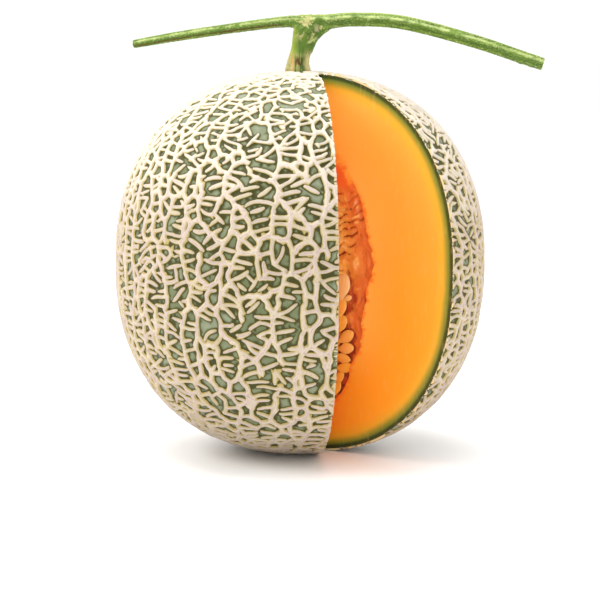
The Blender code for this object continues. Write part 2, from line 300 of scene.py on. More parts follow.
class Paint:
    """The nodes of one material."""

    def __init__(self, name):
        self.material = bpy.data.materials.new(name)
        self.material.use_nodes = True
        self.tree = self.material.node_tree
        self.shader = self.tree.nodes["Principled BSDF"]

    def node(self, kind, settings, inputs, output=0):
        """Makes a node: its settings first, then the values or links of its sockets."""
        made = self.tree.nodes.new(kind)
        for name, value in settings.items():
            setattr(made, name, value)
        for name, value in inputs.items():
            self.feed(made.inputs[name], value)
        return Signal(self, made.outputs[output])

    def feed(self, socket, value):
        """Links a signal to the socket, or sets the socket to a plain value."""
        if isinstance(value, Signal):
            self.tree.links.new(value.socket, socket)
        elif socket.type == "RGBA":
            socket.default_value = (*value[:3], 1)
        else:
            socket.default_value = value

    def math(self, operation, *values):
        return self.node("ShaderNodeMath", {"operation": operation}, dict(enumerate(values)))

    def mix(self, share, first, second, blend="MIX"):
        """The first colour, with that share of the second."""
        settings = {"data_type": "RGBA", "blend_type": blend}
        return self.node("ShaderNodeMix", settings, {0: share, 6: first, 7: second}, 2)

    def layered(self, colour, *layers):
        """The colour under layers, each a share and a colour, the last of them on top."""
        for share, tint in layers:
            colour = self.mix(share, colour, tint)
        return colour

    def rise(self, value, low, high):
        """0 under low, 1 over high, and a smooth step between them."""
        settings = {"interpolation_type": "SMOOTHSTEP"}
        inputs = {"Value": value, "From Min": low, "From Max": high}
        return self.node("ShaderNodeMapRange", settings, inputs)

    def fall(self, value, low, high):
        """1 under low, 0 over high, and a smooth step between them."""
        return 1 - self.rise(value, low, high)

    def band(self, value, low, start, end, high):
        """1 from start to end, 0 under low and over high, and smooth steps between them."""
        return self.rise(value, low, start) * self.fall(value, end, high)

    def place(self, scale=(1, 1, 1)):
        """Object coordinates, stretched."""
        coordinates = self.node("ShaderNodeTexCoord", {}, {}, "Object")
        return self.node("ShaderNodeMapping", {}, {"Vector": coordinates, "Scale": scale})

    def axes(self):
        """The object coordinates x, y and z, each on its own."""
        parted = self.node("ShaderNodeSeparateXYZ", {}, {"Vector": self.place()})
        return [Signal(self, socket) for socket in parted.socket.node.outputs]

    def noise(self, where, scale, detail=2.0, roughness=0.5, distortion=0.0):
        inputs = {"Vector": where, "Scale": scale, "Detail": detail}
        inputs |= {"Roughness": roughness, "Distortion": distortion}
        return self.node("ShaderNodeTexNoise", {}, inputs)

    def attribute(self, name):
        """The number that the mesh carries under that name."""
        return self.node("ShaderNodeAttribute", {"attribute_name": name}, {}, "Fac")

    def bump(self, height, distance, strength):
        """Feeds the shader's normal from a height that stands for that distance in metres."""
        inputs = {"Height": height, "Distance": distance, "Strength": strength}
        self.feed(self.shader.inputs["Normal"], self.node("ShaderNodeBump", {}, inputs))

    def finish(self, colour, roughness, **constants):
        """Feeds the shader: colour and roughness may vary, and the rest are plain values."""
        self.feed(self.shader.inputs["Base Color"], colour)
        self.feed(self.shader.inputs["Roughness"], roughness)
        for name, value in constants.items():
            title = name.replace("_", " ").title().replace("Ior", "IOR")
            self.feed(self.shader.inputs[title], value)
        return self.material


def heading(azimuth):
    """The level direction at that azimuth in degrees, from the front towards the right."""
    angle = math.radians(azimuth)
    return np.array([math.sin(angle), -math.cos(angle), 0.0])


def unit(rows):
    return rows / np.linalg.norm(rows, axis=-1, keepdims=True)


def spiral(count):
    """That many directions spread evenly over the sphere."""
    index = np.arange(count) + 0.5
    polar = np.arccos(1 - 2 * index / count)
    turn = index * GOLDEN_ANGLE
    return np.column_stack([np.cos(turn) * np.sin(polar), np.sin(turn) * np.sin(polar), np.cos(polar)])


def rises(value, low, high):
    """0 under low, 1 over high, and a smooth step between them."""
    share = np.clip((value - low) / (high - low), 0, 1)
    return share * share * (3 - 2 * share)


class FruitShape:
    """The fruit's smooth outline under its net, the two knife cuts and the hollow."""

    def __init__(self, fruit, net):
        self.power = fruit.roundness
        self.radius = fruit.width / 2 - net.strand_height
        self.half_height = fruit.height / 2 - net.strand_height
        self.centre = np.array([0.0, 0.0, FRUIT_TOP - fruit.middle])
        self.apex = np.array([fruit.apex_x, fruit.apex_y, self.centre[2]])
        self.azimuths = (fruit.cut_from, fruit.cut_to)
        self.into_wedge = (heading(fruit.cut_from + 90), heading(fruit.cut_to - 90))
        self.hollow = (fruit.hollow_reach, fruit.hollow_height)
        self.hollow_z = self.centre[2] - fruit.hollow_drop

    def level(self, offsets):
        """1 on the outline, less inside it, at offsets from the fruit's middle."""
        across = np.hypot(offsets[..., 0], offsets[..., 1]) / self.radius
        upright = np.abs(offsets[..., 2]) / self.half_height
        return (across**self.power + upright**self.power) ** (1 / self.power)

    def surface(self, directions, lift):
        """Points over the outline in those directions from the middle, pressed flat at the foot."""
        points = self.centre + directions * (1 / self.level(directions) + lift)[:, None]
        points[:, 2] = np.maximum(points[:, 2], 0)
        return points

    def outside_cut(self, points):
        """How far the points lie outside the wedge that is gone; negative within it."""
        offsets = points - self.apex
        return np.maximum(-(offsets @ self.into_wedge[0]), -(offsets @ self.into_wedge[1]))

    def cut_rays(self, side, angles):
        """Rays in a cut's plane from its inner edge: their directions and reach to the outline."""
        ahead = heading(self.azimuths[side])
        rays = np.cos(angles)[:, None] * ahead + np.sin(angles)[:, None] * UP
        near, far = np.zeros(len(angles)), np.full(len(angles), 2 * self.radius)
        for _ in range(40):
            middle = (near + far) / 2
            inside = self.level(self.apex - self.centre + rays * middle[:, None]) < 1
            near, far = np.where(inside, middle, near), np.where(inside, far, middle)
        return rays, near

    def upright_plane(self, ahead, flat):
        """Places for rows of distance from the cut edge in that direction, and z."""
        return self.apex * LEVEL + flat[:, :1] * ahead + flat[:, 1:] * UP


class Nearby:
    """Points filed by place, to find what is close to a spot while strands are still growing."""

    def __init__(self, size):
        self.size = size
        self.boxes = {}

    def key(self, point):
        return tuple(int(math.floor(value / self.size)) for value in point)

    def add(self, point):
        self.boxes.setdefault(self.key(point), []).append(tuple(point))

    def nearest(self, point):
        """The closest filed point and its distance, or None and the box size."""
        found, least = None, self.size
        for other in around(self.boxes, self.key(point)):
            gap = math.dist(point, other)
            if gap < least:
                found, least = other, gap
        return found, least


def around(boxes, key):
    """All that is filed in a box and the 26 round it."""
    i, j, k = key
    for a in (i - 1, i, i + 1):
        for b in (j - 1, j, j + 1):
            for c in (k - 1, k, k + 1):
                yield from boxes.get((a, b, c), ())


class Strand:
    """A run of stations on the unit sphere, with a half width and a height at each, and one tone."""

    def __init__(self, stations, half_width, height, tone, free_ends=(False, False)):
        self.stations = stations
        self.half_width = half_width
        self.height = height
        self.tone = tone
        self.free_ends = free_ends

    def finer(self, step):
        """Stations, half widths and heights at that closer step."""
        spans = np.linalg.norm(np.diff(self.stations, axis=0), axis=1)
        along = np.concatenate([[0], np.cumsum(spans)])
        at = np.linspace(0, along[-1], max(2, int(math.ceil(along[-1] / step)) + 1))
        places = np.stack([np.interp(at, along, self.stations[:, i]) for i in range(3)], axis=1)
        return unit(places), np.interp(at, along, self.half_width), np.interp(at, along, self.height)


class NetPattern:
    """The net as a plan: large cells between main strands, and finer strands grown into their gaps."""

    # Distances between stations: in a strand's mesh, while one grows, and to measure from
    STEP = 0.0012
    WALK_STEP = 0.0006
    FINE_STEP = 0.0003

    # The shortest strand kept, how far one looks for others, and how near it joins them
    LEAST_LENGTH = 0.0004
    SEARCH = 0.0046
    JOIN_GAP = 0.001

    # Places tried for each cell, samples that a point is measured from, and points on the skin
    CANDIDATES = 14
    NEIGHBOURS = 5
    SKIN_POINTS = 24000

    # The skin dips beside a strand and rises from there over this reach
    SKIN_DIP = 0.00012
    SKIN_RISE = 0.0002
    FOOT_REACH = 0.0015

    # Shares of its width that a strand has at its free tip
    TIP_WIDTHS = np.array([0.68, 0.82, 0.93])

    # Towards here the cells are larger
    SPARSE = unit(np.array([-0.1, -0.97, -0.2]))

    def __init__(self, shape, net):
        self.net = net
        self.scale = shape.radius
        self.rng = np.random.default_rng(net.seed)
        self.strands = []
        self.grow_main()
        self.grow_twigs()
        self.file_samples()

    def corners(self):
        """The corners and edges of the cells round evenly scattered seeds on the sphere."""
        taken = unit(self.rng.normal(size=(1, 3)))
        while len(taken) < self.net.cells:
            candidates = unit(self.rng.normal(size=(self.CANDIDATES, 3)))
            loneliness = 1 - (candidates @ taken.T).max(axis=1)
            loneliness *= 1 + 0.45 * rises(-(candidates @ self.SPARSE), -0.93, -0.6)
            taken = np.vstack([taken, candidates[loneliness.argmax()]])
        hull = bmesh.new()
        for row in taken:
            hull.verts.new(row)
        bmesh.ops.convex_hull(hull, input=hull.verts)
        hull.normal_update()
        hull.faces.index_update()
        places = np.array([face.normal[:] for face in hull.faces])
        edges = []
        for edge in hull.edges:
            if len(edge.link_faces) == 2:
                edges.append(tuple(face.index for face in edge.link_faces))
        hull.free()
        polar = np.arccos(np.clip(places[:, 2], -1, 1))
        polar -= self.net.upright * np.sin(2 * polar)
        level = unit(places[:, :2])
        places = np.column_stack([level * np.sin(polar)[:, None], np.cos(polar)])
        return places, edges

    def grow_main(self):
        """Lays the main strands along the cells' edges, and leaves out many of the level ones."""
        places, edges = self.corners()
        kept = []
        for a, b in edges:
            first, last = places[a], places[b]
            length = np.linalg.norm(last - first) * self.scale
            belly = 1 - (first[2] + last[2]) ** 2 / 4
            rung = 1 - abs(last[2] - first[2]) * self.scale / max(length, 1e-9)
            dropped = 0.02 + self.net.rungs_dropped * belly * rung
            if length > self.LEAST_LENGTH and self.rng.random() > dropped:
                kept.append((a, b))
        places = self.eased(places, kept)
        for a, b in kept:
            if np.linalg.norm(places[b] - places[a]) * self.scale >= self.LEAST_LENGTH:
                self.strands.append(self.main_strand(places[a], places[b]))

    def main_strand(self, first, last):
        """A strand between two corners, with a slight bow and wave, thicker at its ends."""
        rng = self.rng
        length = np.linalg.norm(last - first) * self.scale
        count = max(2, int(math.ceil(length / self.STEP)) + 1)
        share = np.linspace(0, 1, count)
        side = unit(np.cross(first, last))
        bow = rng.normal() * 0.07 * length / self.scale
        wave = rng.normal() * 0.0003 / self.scale
        sway = bow * np.sin(math.pi * share)
        sway = sway + wave * np.sin(math.tau * share * rng.uniform(0.7, 1.6))
        straight = first * (1 - share)[:, None] + last * share[:, None]
        stations = unit(straight + side * sway[:, None])
        thick = rng.uniform(0.88, 1.1)
        swell = 1 + 0.08 * np.sin(share * rng.uniform(3, 9) + rng.uniform(0, 6))
        flare = 1 + 0.12 * (np.exp(-share * length / 0.001) + np.exp(-(1 - share) * length / 0.001))
        half_width = self.net.main_width / 2 * thick * swell * flare * self.slimming(first)
        height = np.full(count, self.net.strand_height * rng.uniform(0.88, 1.0))
        return Strand(stations, half_width, height, rng.random())

    def slimming(self, place):
        """Share of its full width that a strand has there: less of it over the shoulder."""
        return 1 - 0.4 * rises(place[2], 0.4, 0.9)

    def eased(self, places, links):
        """Corners drawn towards those they are linked to, so that strands run on with fewer kinks."""
        for _ in range(4):
            total, count = places * 1.5, np.full((len(places), 1), 1.5)
            for a, b in links:
                total[a] += places[b]
                total[b] += places[a]
                count[[a, b]] += 1
            places = unit(total / count)
        return places

    def grow_twigs(self):
        """Lays a finer strand across every wide gap, joined to its neighbours or just short of them."""
        rng = random.Random(self.net.seed)
        nearby, trunks = Nearby(self.SEARCH), Nearby(self.SEARCH)
        for strand in self.strands:
            for place in strand.finer(self.WALK_STEP / self.scale)[0]:
                nearby.add(place * self.scale)
                trunks.add(place * self.scale)
        places = list(spiral(self.net.twigs))
        rng.shuffle(places)
        for place in places:
            gap = nearby.nearest(place * self.scale)[1]
            open_front = rises(place @ self.SPARSE, 0.6, 0.95)
            if gap < self.net.clearance * (1 + 0.14 * open_front) * rng.uniform(0.94, 1.2):
                continue
            course = self.first_course(trunks, place, rng)
            ahead, ahead_free = self.walk(nearby, place, course, rng.random() < 0.95, rng)
            back, back_free = self.walk(nearby, place, -course, rng.random() < 0.8, rng)
            stations = np.array(back[::-1] + [place] + ahead)
            if len(stations) < 4:
                continue
            for row in stations:
                nearby.add(row * self.scale)
            thick = self.net.twig_width / 2 * rng.uniform(0.86, 1.2) * self.slimming(place)
            half_width = thick * np.ones(len(stations))
            if back_free:
                half_width[:3] *= self.TIP_WIDTHS
            if ahead_free:
                half_width[-3:] *= self.TIP_WIDTHS[::-1]
            height = self.net.strand_height * rng.uniform(0.72, 0.92) * np.ones(len(stations))
            free_ends = (back_free, ahead_free)
            self.strands.append(Strand(stations, half_width, height, rng.random(), free_ends))

    def first_course(self, trunks, place, rng):
        """The way a finer strand sets out: to the nearest main strand, drawn level, a little aslant."""
        found = trunks.nearest(place * self.scale)[0]
        if found is None:
            course = unit(np.cross(place, unit(np.array([rng.gauss(0, 1) for _ in range(3)]))))
        else:
            course = unit(np.array(found) / self.scale - place)
            level = np.cross(place, UP)
            course = unit(course + level * math.copysign(self.net.level_twigs, course @ level))
        lean = rng.gauss(0, 0.2)
        return course * math.cos(lean) + np.cross(place, course) * math.sin(lean)

    def walk(self, nearby, place, course, joins, rng):
        """Stations from a place until the run joins another strand, or stops free in front of it."""
        longest = rng.uniform(0.002, 0.0058)
        bend = rng.gauss(0, 0.05)
        short = (self.net.main_width + self.net.twig_width) / 2 + rng.uniform(-0.0001, 0.0002)
        stations = []
        for _ in range(int(longest / self.WALK_STEP)):
            course = unit(course + np.cross(place, course) * bend)
            place = unit(place + course * self.WALK_STEP / self.scale)
            found, gap = nearby.nearest(place * self.scale)
            if found is not None:
                towards = unit(np.array(found) - place * self.scale) @ course
                if joins and gap < self.JOIN_GAP:
                    return stations + [place, unit(np.array(found))], False
                if gap < short and (not joins or towards < 0.45):
                    if not joins or gap < short * 0.8:
                        return stations, True
                    course = unit(course + 0.3 * unit(place - unit(np.array(found))))
            stations.append(place)
        return stations, True

    def file_samples(self):
        """Files close samples along every strand, to measure any place's distance from the net."""
        samples = []
        for strand in self.strands:
            stations, half_width, height = strand.finer(self.FINE_STEP / self.scale)
            tone = np.full(len(stations), strand.tone)
            samples.append((stations * self.scale, half_width, height, tone))
        places, *numbers = [np.concatenate(column) for column in zip(*samples)]
        self.sample_half_widths, self.sample_heights, self.sample_tones = numbers
        self.tree = search_tree(places)

    def measure(self, directions):
        """For places on the sphere: height over the skin, shade from crest to foot, and tone."""
        indices = np.zeros((len(directions), self.NEIGHBOURS), int)
        gaps = np.zeros((len(directions), self.NEIGHBOURS))
        for row, place in enumerate(directions * self.scale):
            for column, (_, index, gap) in enumerate(self.tree.find_n(place, self.NEIGHBOURS)):
                indices[row, column] = index
                gaps[row, column] = gap
        half_widths = self.sample_half_widths[indices]
        shares = gaps / half_widths
        round_over = np.clip(1 - shares**2, 0, 1) ** 0.6
        lift = (self.sample_heights[indices] * round_over).max(axis=1)
        nearest = shares.argmin(axis=1)
        rows = np.arange(len(directions))
        share = shares[rows, nearest]
        beyond = gaps[rows, nearest] - half_widths[rows, nearest]
        beyond = np.clip(beyond / self.FOOT_REACH, 0, 1)
        shade = np.where(share < 1, 1 - share, -beyond)
        lift = np.where(share < 1, lift, -self.SKIN_DIP + self.SKIN_RISE * beyond)
        return lift, shade, self.sample_tones[indices[rows, nearest]]

    def mesh_directions(self):
        """Where the rind's mesh has its points: strands' crests, feet and flanks, and the skin."""
        crest, flank, foot = [], [], []
        for strand in self.strands:
            stations, half_width, _ = strand.finer(self.STEP / self.scale)
            ahead = unit(np.gradient(stations, axis=0))
            side = unit(np.cross(stations, ahead)) * (half_width / self.scale)[:, None]
            crest.append(stations)
            for sign in (-1, 1):
                flank.append(unit(stations + sign * 0.6 * side))
                foot.append(unit(stations + sign * side))
            for free, end, sign in zip(strand.free_ends, (0, -1), (-1, 1)):
                if not free:
                    continue
                tip, reach = stations[end], half_width[end] / self.scale
                for angle in (-0.9, 0, 0.9):
                    out = ahead[end] * sign * math.cos(angle) + unit(side[end]) * math.sin(angle)
                    foot.append(unit(tip + out * reach)[None, :])
        return [*(np.concatenate(rows) for rows in (crest, foot, flank)), spiral(self.SKIN_POINTS)]


def thinned(points, least):
    """Indices of points so that none is closer than that to an earlier one."""
    kept = []
    boxes = {}
    keys = np.floor(points / least).astype(int).tolist()
    for index, (key, row) in enumerate(zip(keys, points.tolist())):
        if all(math.dist(row, other) >= least for other in around(boxes, key)):
            boxes.setdefault(tuple(key), []).append(row)
            kept.append(index)
    return kept


class RindPatch:
    """The rind as a mesh that follows its net, with its rims on the two knife cuts."""

    # Least distance between points, distance between them on a rim, and from a cut to the others
    LEAST_GAP = 0.00042
    RIM_STEP = 0.0006
    CUT_MARGIN = 0.0004

    # Net shades up to which crests, feet, flanks and skin have points
    MOST_SHADES = (2, 0.03, 0.5, -0.3)

    def __init__(self, shape, pattern):
        self.shape = shape
        self.pattern = pattern
        self.rims = [self.rim(side) for side in (0, 1)]
        self.rims[1][[0, -1]] = self.rims[0][[0, -1]]
        loop = np.concatenate([self.rims[0], self.rims[1][-2:0:-1]])
        directions, points, shade, tone = self.inner_points()
        loop_directions = unit(loop - shape.centre)
        _, loop_shade, loop_tone = pattern.measure(loop_directions)
        self.points = np.concatenate([loop, points])
        self.shade = np.concatenate([loop_shade, shade])
        self.tone = np.concatenate([loop_tone, tone])
        flat = self.flattened(np.concatenate([loop_directions, directions]))
        self.faces = filled(flat, len(loop))

    def rim(self, side):
        """The rind's edge along one cut, from the foot's end of the cut edge round to the top's."""
        count = int(math.pi * self.shape.radius / self.RIM_STEP)
        angles = np.linspace(-math.pi / 2, math.pi / 2, count)
        rays, reach = self.shape.cut_rays(side, angles)
        points = self.shape.apex + rays * reach[:, None]
        lift, _, _ = self.pattern.measure(unit(points - self.shape.centre))
        points += rays * lift[:, None]
        points[:, 2] = np.maximum(points[:, 2], 0)
        return points

    def inner_points(self):
        """The mesh's points off the rims, with the net's heights."""
        layers = []
        for directions, most_shade in zip(self.pattern.mesh_directions(), self.MOST_SHADES):
            ground = self.shape.surface(directions, np.zeros(len(directions)))
            directions = directions[self.shape.outside_cut(ground) > self.CUT_MARGIN]
            columns = (directions, *self.pattern.measure(directions))
            layers.append([column[columns[2] < most_shade] for column in columns])
        columns = [np.concatenate(parts) for parts in zip(*layers)]
        index = thinned(columns[0] * self.shape.radius, self.LEAST_GAP)
        directions, lift, shade, tone = [column[index] for column in columns]
        return directions, self.shape.surface(directions, lift), shade, tone

    def flattened(self, directions):
        """Directions laid out flat, seen from the middle of the wedge that is gone."""
        pole = heading(sum(self.shape.azimuths) / 2)
        flat = np.column_stack([directions @ np.cross(pole, UP), directions @ UP])
        return flat / (1 - directions @ pole)[:, None]


def mesh_from(name, points, faces, attributes=()):
    """A mesh object from plain points and faces, with numbers by name for each point."""
    mesh = bpy.data.meshes.new(name)
    mesh.from_pydata([tuple(point) for point in points], [], faces)
    mesh.validate()
    for label, values in attributes:
        put_attribute(mesh, label, values)
    made = bpy.data.objects.new(name, mesh)
    bpy.context.scene.collection.objects.link(made)
    return made


def put_attribute(mesh, label, values):
    """Stores a number for each of the mesh's points."""
    layer = mesh.attributes.new(label, "FLOAT", "POINT")
    layer.data.foreach_set("value", np.asarray(values, np.float32))


def read_rows(items, key):
    """That vector of every item, as rows."""
    rows = np.empty(len(items) * 3)
    items.foreach_get(key, rows)
    return rows.reshape(-1, 3)


def search_tree(places):
    """A tree that finds the rows nearest to a place."""
    tree = KDTree(len(places))
    for index, place in enumerate(places):
        tree.insert(place, index)
    tree.balance()
    return tree


def filled(flat, loop_count):
    """Triangles between flat places, within the loop that the first of them make."""
    edges = [(i, (i + 1) % loop_count) for i in range(loop_count)]
    places = [Vector(row) for row in flat]
    _, _, faces, origins, _, _ = delaunay_2d_cdt(places, edges, [], INSIDE_LOOP, 1e-7)
    source = [rows[0] for rows in origins]
    return [[source[i] for i in face] for face in faces]


def joined(context, parts, name):
    """The parts as one object."""
    bpy.ops.object.select_all(action="DESELECT")
    for part in parts:
        part.select_set(True)
    context.view_layer.objects.active = parts[-1]
    bpy.ops.object.join()
    context.object.name = name
    return context.object


def join_up(obj, distance):
    """Merges points that lie together, turns all faces outwards and marks the edges to stay sharp."""
    bm = bmesh.new()
    bm.from_mesh(obj.data)
    bmesh.ops.remove_doubles(bm, verts=bm.verts, dist=distance)
    bmesh.ops.delete(bm, geom=[vert for vert in bm.verts if not vert.link_faces], context="VERTS")
    bmesh.ops.recalc_face_normals(bm, faces=bm.faces)
    for face in bm.faces:
        face.smooth = True
    for edge in bm.edges:
        if len(edge.link_faces) != 2:
            continue
        kinds = [face.material_index for face in edge.link_faces]
        bent = kinds[0] == FLESH_SLOT and edge.calc_face_angle(0) > SHARP_TURN
        if kinds[0] != kinds[1] or bent:
            edge.smooth = False
    bm.to_mesh(obj.data)
    bm.free()


def hollow_outline(shape, side, count=210):
    """The hollow's edge in a cut, from its foot on the cut edge to its top, as (along, z) pairs."""
    reach, half_height = shape.hollow
    levels, widths = zip(*HOLLOW_STATIONS)
    turn = np.linspace(-1, 1, count)
    level = (np.sin(turn * math.pi / 2) + turn) / 2
    along = np.interp(level, levels, widths)
    soft = np.ones(9) / 9
    along[4:-4] = np.convolve(along, soft, "valid")
    height = shape.hollow_z + half_height * level
    jagged = np.array([noise.noise(Vector((z * 330, side * 7.0, 3.0))) for z in height])
    jagged += 0.7 * np.array([noise.noise(Vector((z * 900, side * 7.0, 9.0))) for z in height])
    along = np.maximum(along * reach + jagged * 0.0009 * np.sqrt(1 - level**2), 0)
    along[0] = along[-1] = 0
    return np.column_stack([along, height])


def cut_face(shape, side, rim):
    """The flesh on one knife cut: its points, its faces, and each point's distance from the hollow."""
    ahead = heading(shape.azimuths[side])
    rim_flat = np.column_stack([(rim - shape.apex) @ ahead, rim[:, 2]])
    inner = hollow_outline(shape, side)
    top = np.linspace(inner[-1, 1], rim_flat[-1, 1], 30)[1:-1]
    foot = np.linspace(rim_flat[0, 1], inner[0, 1], 22)[1:-1]
    down = np.column_stack([np.zeros(len(top)), top])[::-1]
    up = np.column_stack([np.zeros(len(foot)), foot])
    loop = np.concatenate([rim_flat, down, inner[::-1], up[::-1]])
    rng = np.random.default_rng(side)
    columns, levels = np.arange(0.0012, 0.08, 0.0016), np.arange(0.0008, 0.156, 0.0016)
    grid = np.stack(np.meshgrid(columns, levels), axis=-1)
    grid = grid.reshape(-1, 2) + rng.uniform(-0.0003, 0.0003, (grid.size // 2, 2))
    grid = grid[least_gaps(grid, loop) > 0.0009]
    flat = np.concatenate([loop, grid])
    points = shape.upright_plane(ahead, flat)
    points[: len(rim)] = rim
    return points, filled(flat, len(loop)), least_gaps(flat, inner)


def least_gaps(places, line):
    """How far each place lies from the nearest of every second point of a line."""
    return np.min(np.linalg.norm(places[:, None, :] - line[None, ::2, :], axis=2), axis=1)


def hollow_wall(shape):
    """The hollow's wall, from one cut round the back to the other, as points and faces."""
    outlines = [hollow_outline(shape, side) for side in (0, 1)]
    turns = np.linspace(shape.azimuths[1], shape.azimuths[0] + 360, 40)
    points, faces = [], []
    for i, turn in enumerate(turns):
        share = i / (len(turns) - 1)
        outline = outlines[1] * (1 - share) + outlines[0] * share
        points.append(shape.upright_plane(heading(turn), outline))
    rows = len(outlines[0])
    for i in range(len(turns) - 1):
        for j in range(rows - 1):
            a = i * rows + j
            corners = [a, a + 1, a + rows + 1, a + rows]
            if j == 0:
                corners.remove(a)
            elif j == rows - 2:
                corners.remove(a + rows + 1)
            faces.append(corners)
    return np.concatenate(points), faces


class MELON_OT_fruit(Operator):
    """Build the fruit: netted rind, knife cuts and hollow in one closed mesh"""

    bl_idname = "melon.fruit"
    bl_label = "Fruit"

    def execute(self, context):
        fruit, net = context.scene.melon_fruit, context.scene.melon_net
        shape = FruitShape(fruit, net)
        rind = RindPatch(shape, NetPattern(shape, net))
        wall_points, wall_faces = hollow_wall(shape)
        shells = [cut_face(shape, side, rind.rims[side]) for side in (0, 1)]
        shells.append((wall_points, wall_faces, np.zeros(len(wall_points))))
        points, faces = [rind.points], list(rind.faces)
        shades, tones, cores = [rind.shade], [rind.tone], [np.ones(len(rind.points))]
        start = len(rind.points)
        for shell_points, shell_faces, core in shells:
            points.append(shell_points)
            faces += [[start + i for i in face] for face in shell_faces]
            shades.append(np.ones(len(shell_points)))
            tones.append(np.zeros(len(shell_points)))
            cores.append(core)
            start += len(shell_points)
        columns = {"net": shades, "tone": tones, "core": cores}
        attributes = [(label, np.concatenate(parts)) for label, parts in columns.items()]
        melon = mesh_from("netted_melon", np.concatenate(points), faces, attributes)
        melon.data.materials.append(rind_material(net))
        melon.data.materials.append(flesh_material(fruit, shape))
        slots = np.zeros(len(melon.data.polygons), np.int32)
        slots[len(rind.faces) :] = FLESH_SLOT
        melon.data.polygons.foreach_set("material_index", slots)
        join_up(melon, JOIN_REACH)
        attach(melon, "root")
        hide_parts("melon")
        return {"FINISHED"}


def rind_material(net):
    """Cream cork strands with pinkish middles over grey-green skin. Bloom and painted sheen pale the
    skin away from the strands, painted shade darkens the strands' sides and feet, and painted light
    pales their tops over the shoulder.
    """
    paint = Paint("netted_rind")
    shade = paint.attribute("net")
    tone = paint.attribute("tone")
    where = paint.place()
    patches = paint.noise(where, 38, 3)
    speckle = paint.noise(where, 900, 3, 0.6)
    grain = paint.noise(where, 2600, 2, 0.6)
    # The strands' sides take the cork edge colour: partly their yellow cork, partly painted shade of
    # their rounding
    flank = paint.rise(shade + (speckle - 0.5) * 0.3, 0.04, 0.66)
    fresh = paint.rise(tone + patches, 0.75, 1.25) * paint.rise(shade, 0.25, 0.6)
    old = paint.rise(patches - tone, 0.1, 0.5)
    cork = paint.mix(flank, net.cork_edge_and_shade, net.cork)
    cork = paint.layered(cork, (fresh, net.cork_pink), (old * 0.3, net.cork_edge_and_shade))
    crack = paint.rise(shade, 0.78, 0.94) * paint.rise(speckle + tone * 0.2, 0.5, 0.62)
    cork = paint.mix(crack * 0.35, cork, net.cork_edge_and_shade, "MULTIPLY")
    cork = paint.mix(paint.rise(grain, 0.58, 0.75) * 0.25, cork, net.cork_edge_and_shade, "MULTIPLY")
    # Painted highlight: the strands' tops turn paler towards the top of the fruit, where the light from
    # above falls
    shoulder = paint.rise(paint.axes()[2], 0.085, 0.135) * 0.6 * paint.rise(shade, 0.05, 0.5)
    cork = paint.mix(shoulder, cork, net.cork_top_highlight)
    # Paler skin away from the strands: partly bloom, partly painted sheen
    bloom_and_sheen = paint.rise(speckle * 0.5 - shade, 0.35, 1.2) * paint.rise(patches, 0.3, 0.7)
    flecks = paint.rise(speckle, 0.62, 0.75) * 0.4
    skin = paint.layered(net.skin, (bloom_and_sheen, net.skin_pale_and_sheen), (flecks, net.skin_pale_and_sheen))
    # Painted shade: the skin darkens into a dark line along each strand's foot
    skin = paint.mix(paint.rise(shade, -0.46, -0.06), skin, net.foot_shade)
    colour = paint.mix(paint.rise(shade, 0.0, 0.10), skin, cork)
    paint.bump(grain * 0.4 + speckle, 0.00012, 0.6)
    roughness = 0.42 + paint.rise(shade, -0.05, 0.1) * 0.36
    return paint.finish(colour, roughness, specular_ior_level=0.25)


def flesh_material(fruit, shape):
    """Moist orange flesh: green at the rind, yellow within it, redder in teeth round the hollow, and
    painted lighter near where the cuts meet against the shade in the wedge.
    """
    paint = Paint("orange_flesh")
    x, y, z = paint.axes()
    across = (x * x + y * y) ** 0.5 / shape.radius
    upright = paint.math("ABSOLUTE", z - float(shape.centre[2])) / shape.half_height
    level = (across**shape.power + upright**shape.power) ** (1 / shape.power)
    cloud = paint.noise(paint.place(), 60, 3)
    under = (1 - level) * (shape.radius * 1000)
    depth = under + (cloud - 0.5) * 1.6
    fibre = paint.noise(paint.place((700, 700, 160)), 1.0, 3, 0.6)
    from_edge = ((x - float(shape.apex[0])) ** 2 + (y - float(shape.apex[1])) ** 2) ** 0.5
    upper = 1 - paint.rise(z, 0.085, 0.125) * 0.7
    colour = paint.layered(
        fruit.flesh_low,
        (paint.rise(z, 0.03, 0.12), fruit.flesh),
        # Painted light: lighter flesh near where the cuts meet, against the shade in the wedge
        (paint.fall(from_edge, 0.002, 0.044) * upper * paint.rise(z, 0.026, 0.056), fruit.flesh_painted_light),
        (paint.fall(depth, 3.5, 9.0), fruit.flesh_rim),
        (paint.fall(depth, 1.6, 5.2), fruit.green),
        (paint.fall(under, 0.8, 2.1), fruit.dark_green),
        (paint.fall(under, -0.25, -0.05), fruit.cork),
        (paint.rise(fibre, 0.5, 0.8) * 0.16, (1.0, 0.62, 0.25)),
    )
    teeth = paint.noise(paint.place((260, 260, 520)), 1.0, 2, 0.5, 0.4)
    from_core = paint.attribute("core") * 1000 - teeth * 6.0
    blush = paint.fall(from_core, -3.0, -1.4) * (0.85 - paint.rise(z, 0.098, 0.112) * 0.6)
    foot = paint.fall(from_edge - teeth * 0.008, -0.001, 0.015)
    foot = foot * paint.band(z, 0.008, 0.016, 0.026, 0.042)
    colour = paint.layered(colour, (foot * 0.7, fruit.blush), (blush, fruit.blush))
    paint.bump(fibre + cloud * 0.6, 0.0002, 0.35)
    return paint.finish(
        colour,
        0.34 + fibre * 0.14,
        subsurface_weight=0.25,
        subsurface_radius=(0.9, 0.35, 0.1),
        subsurface_scale=0.004,
        coat_weight=0.15,
        coat_roughness=0.25,
    )


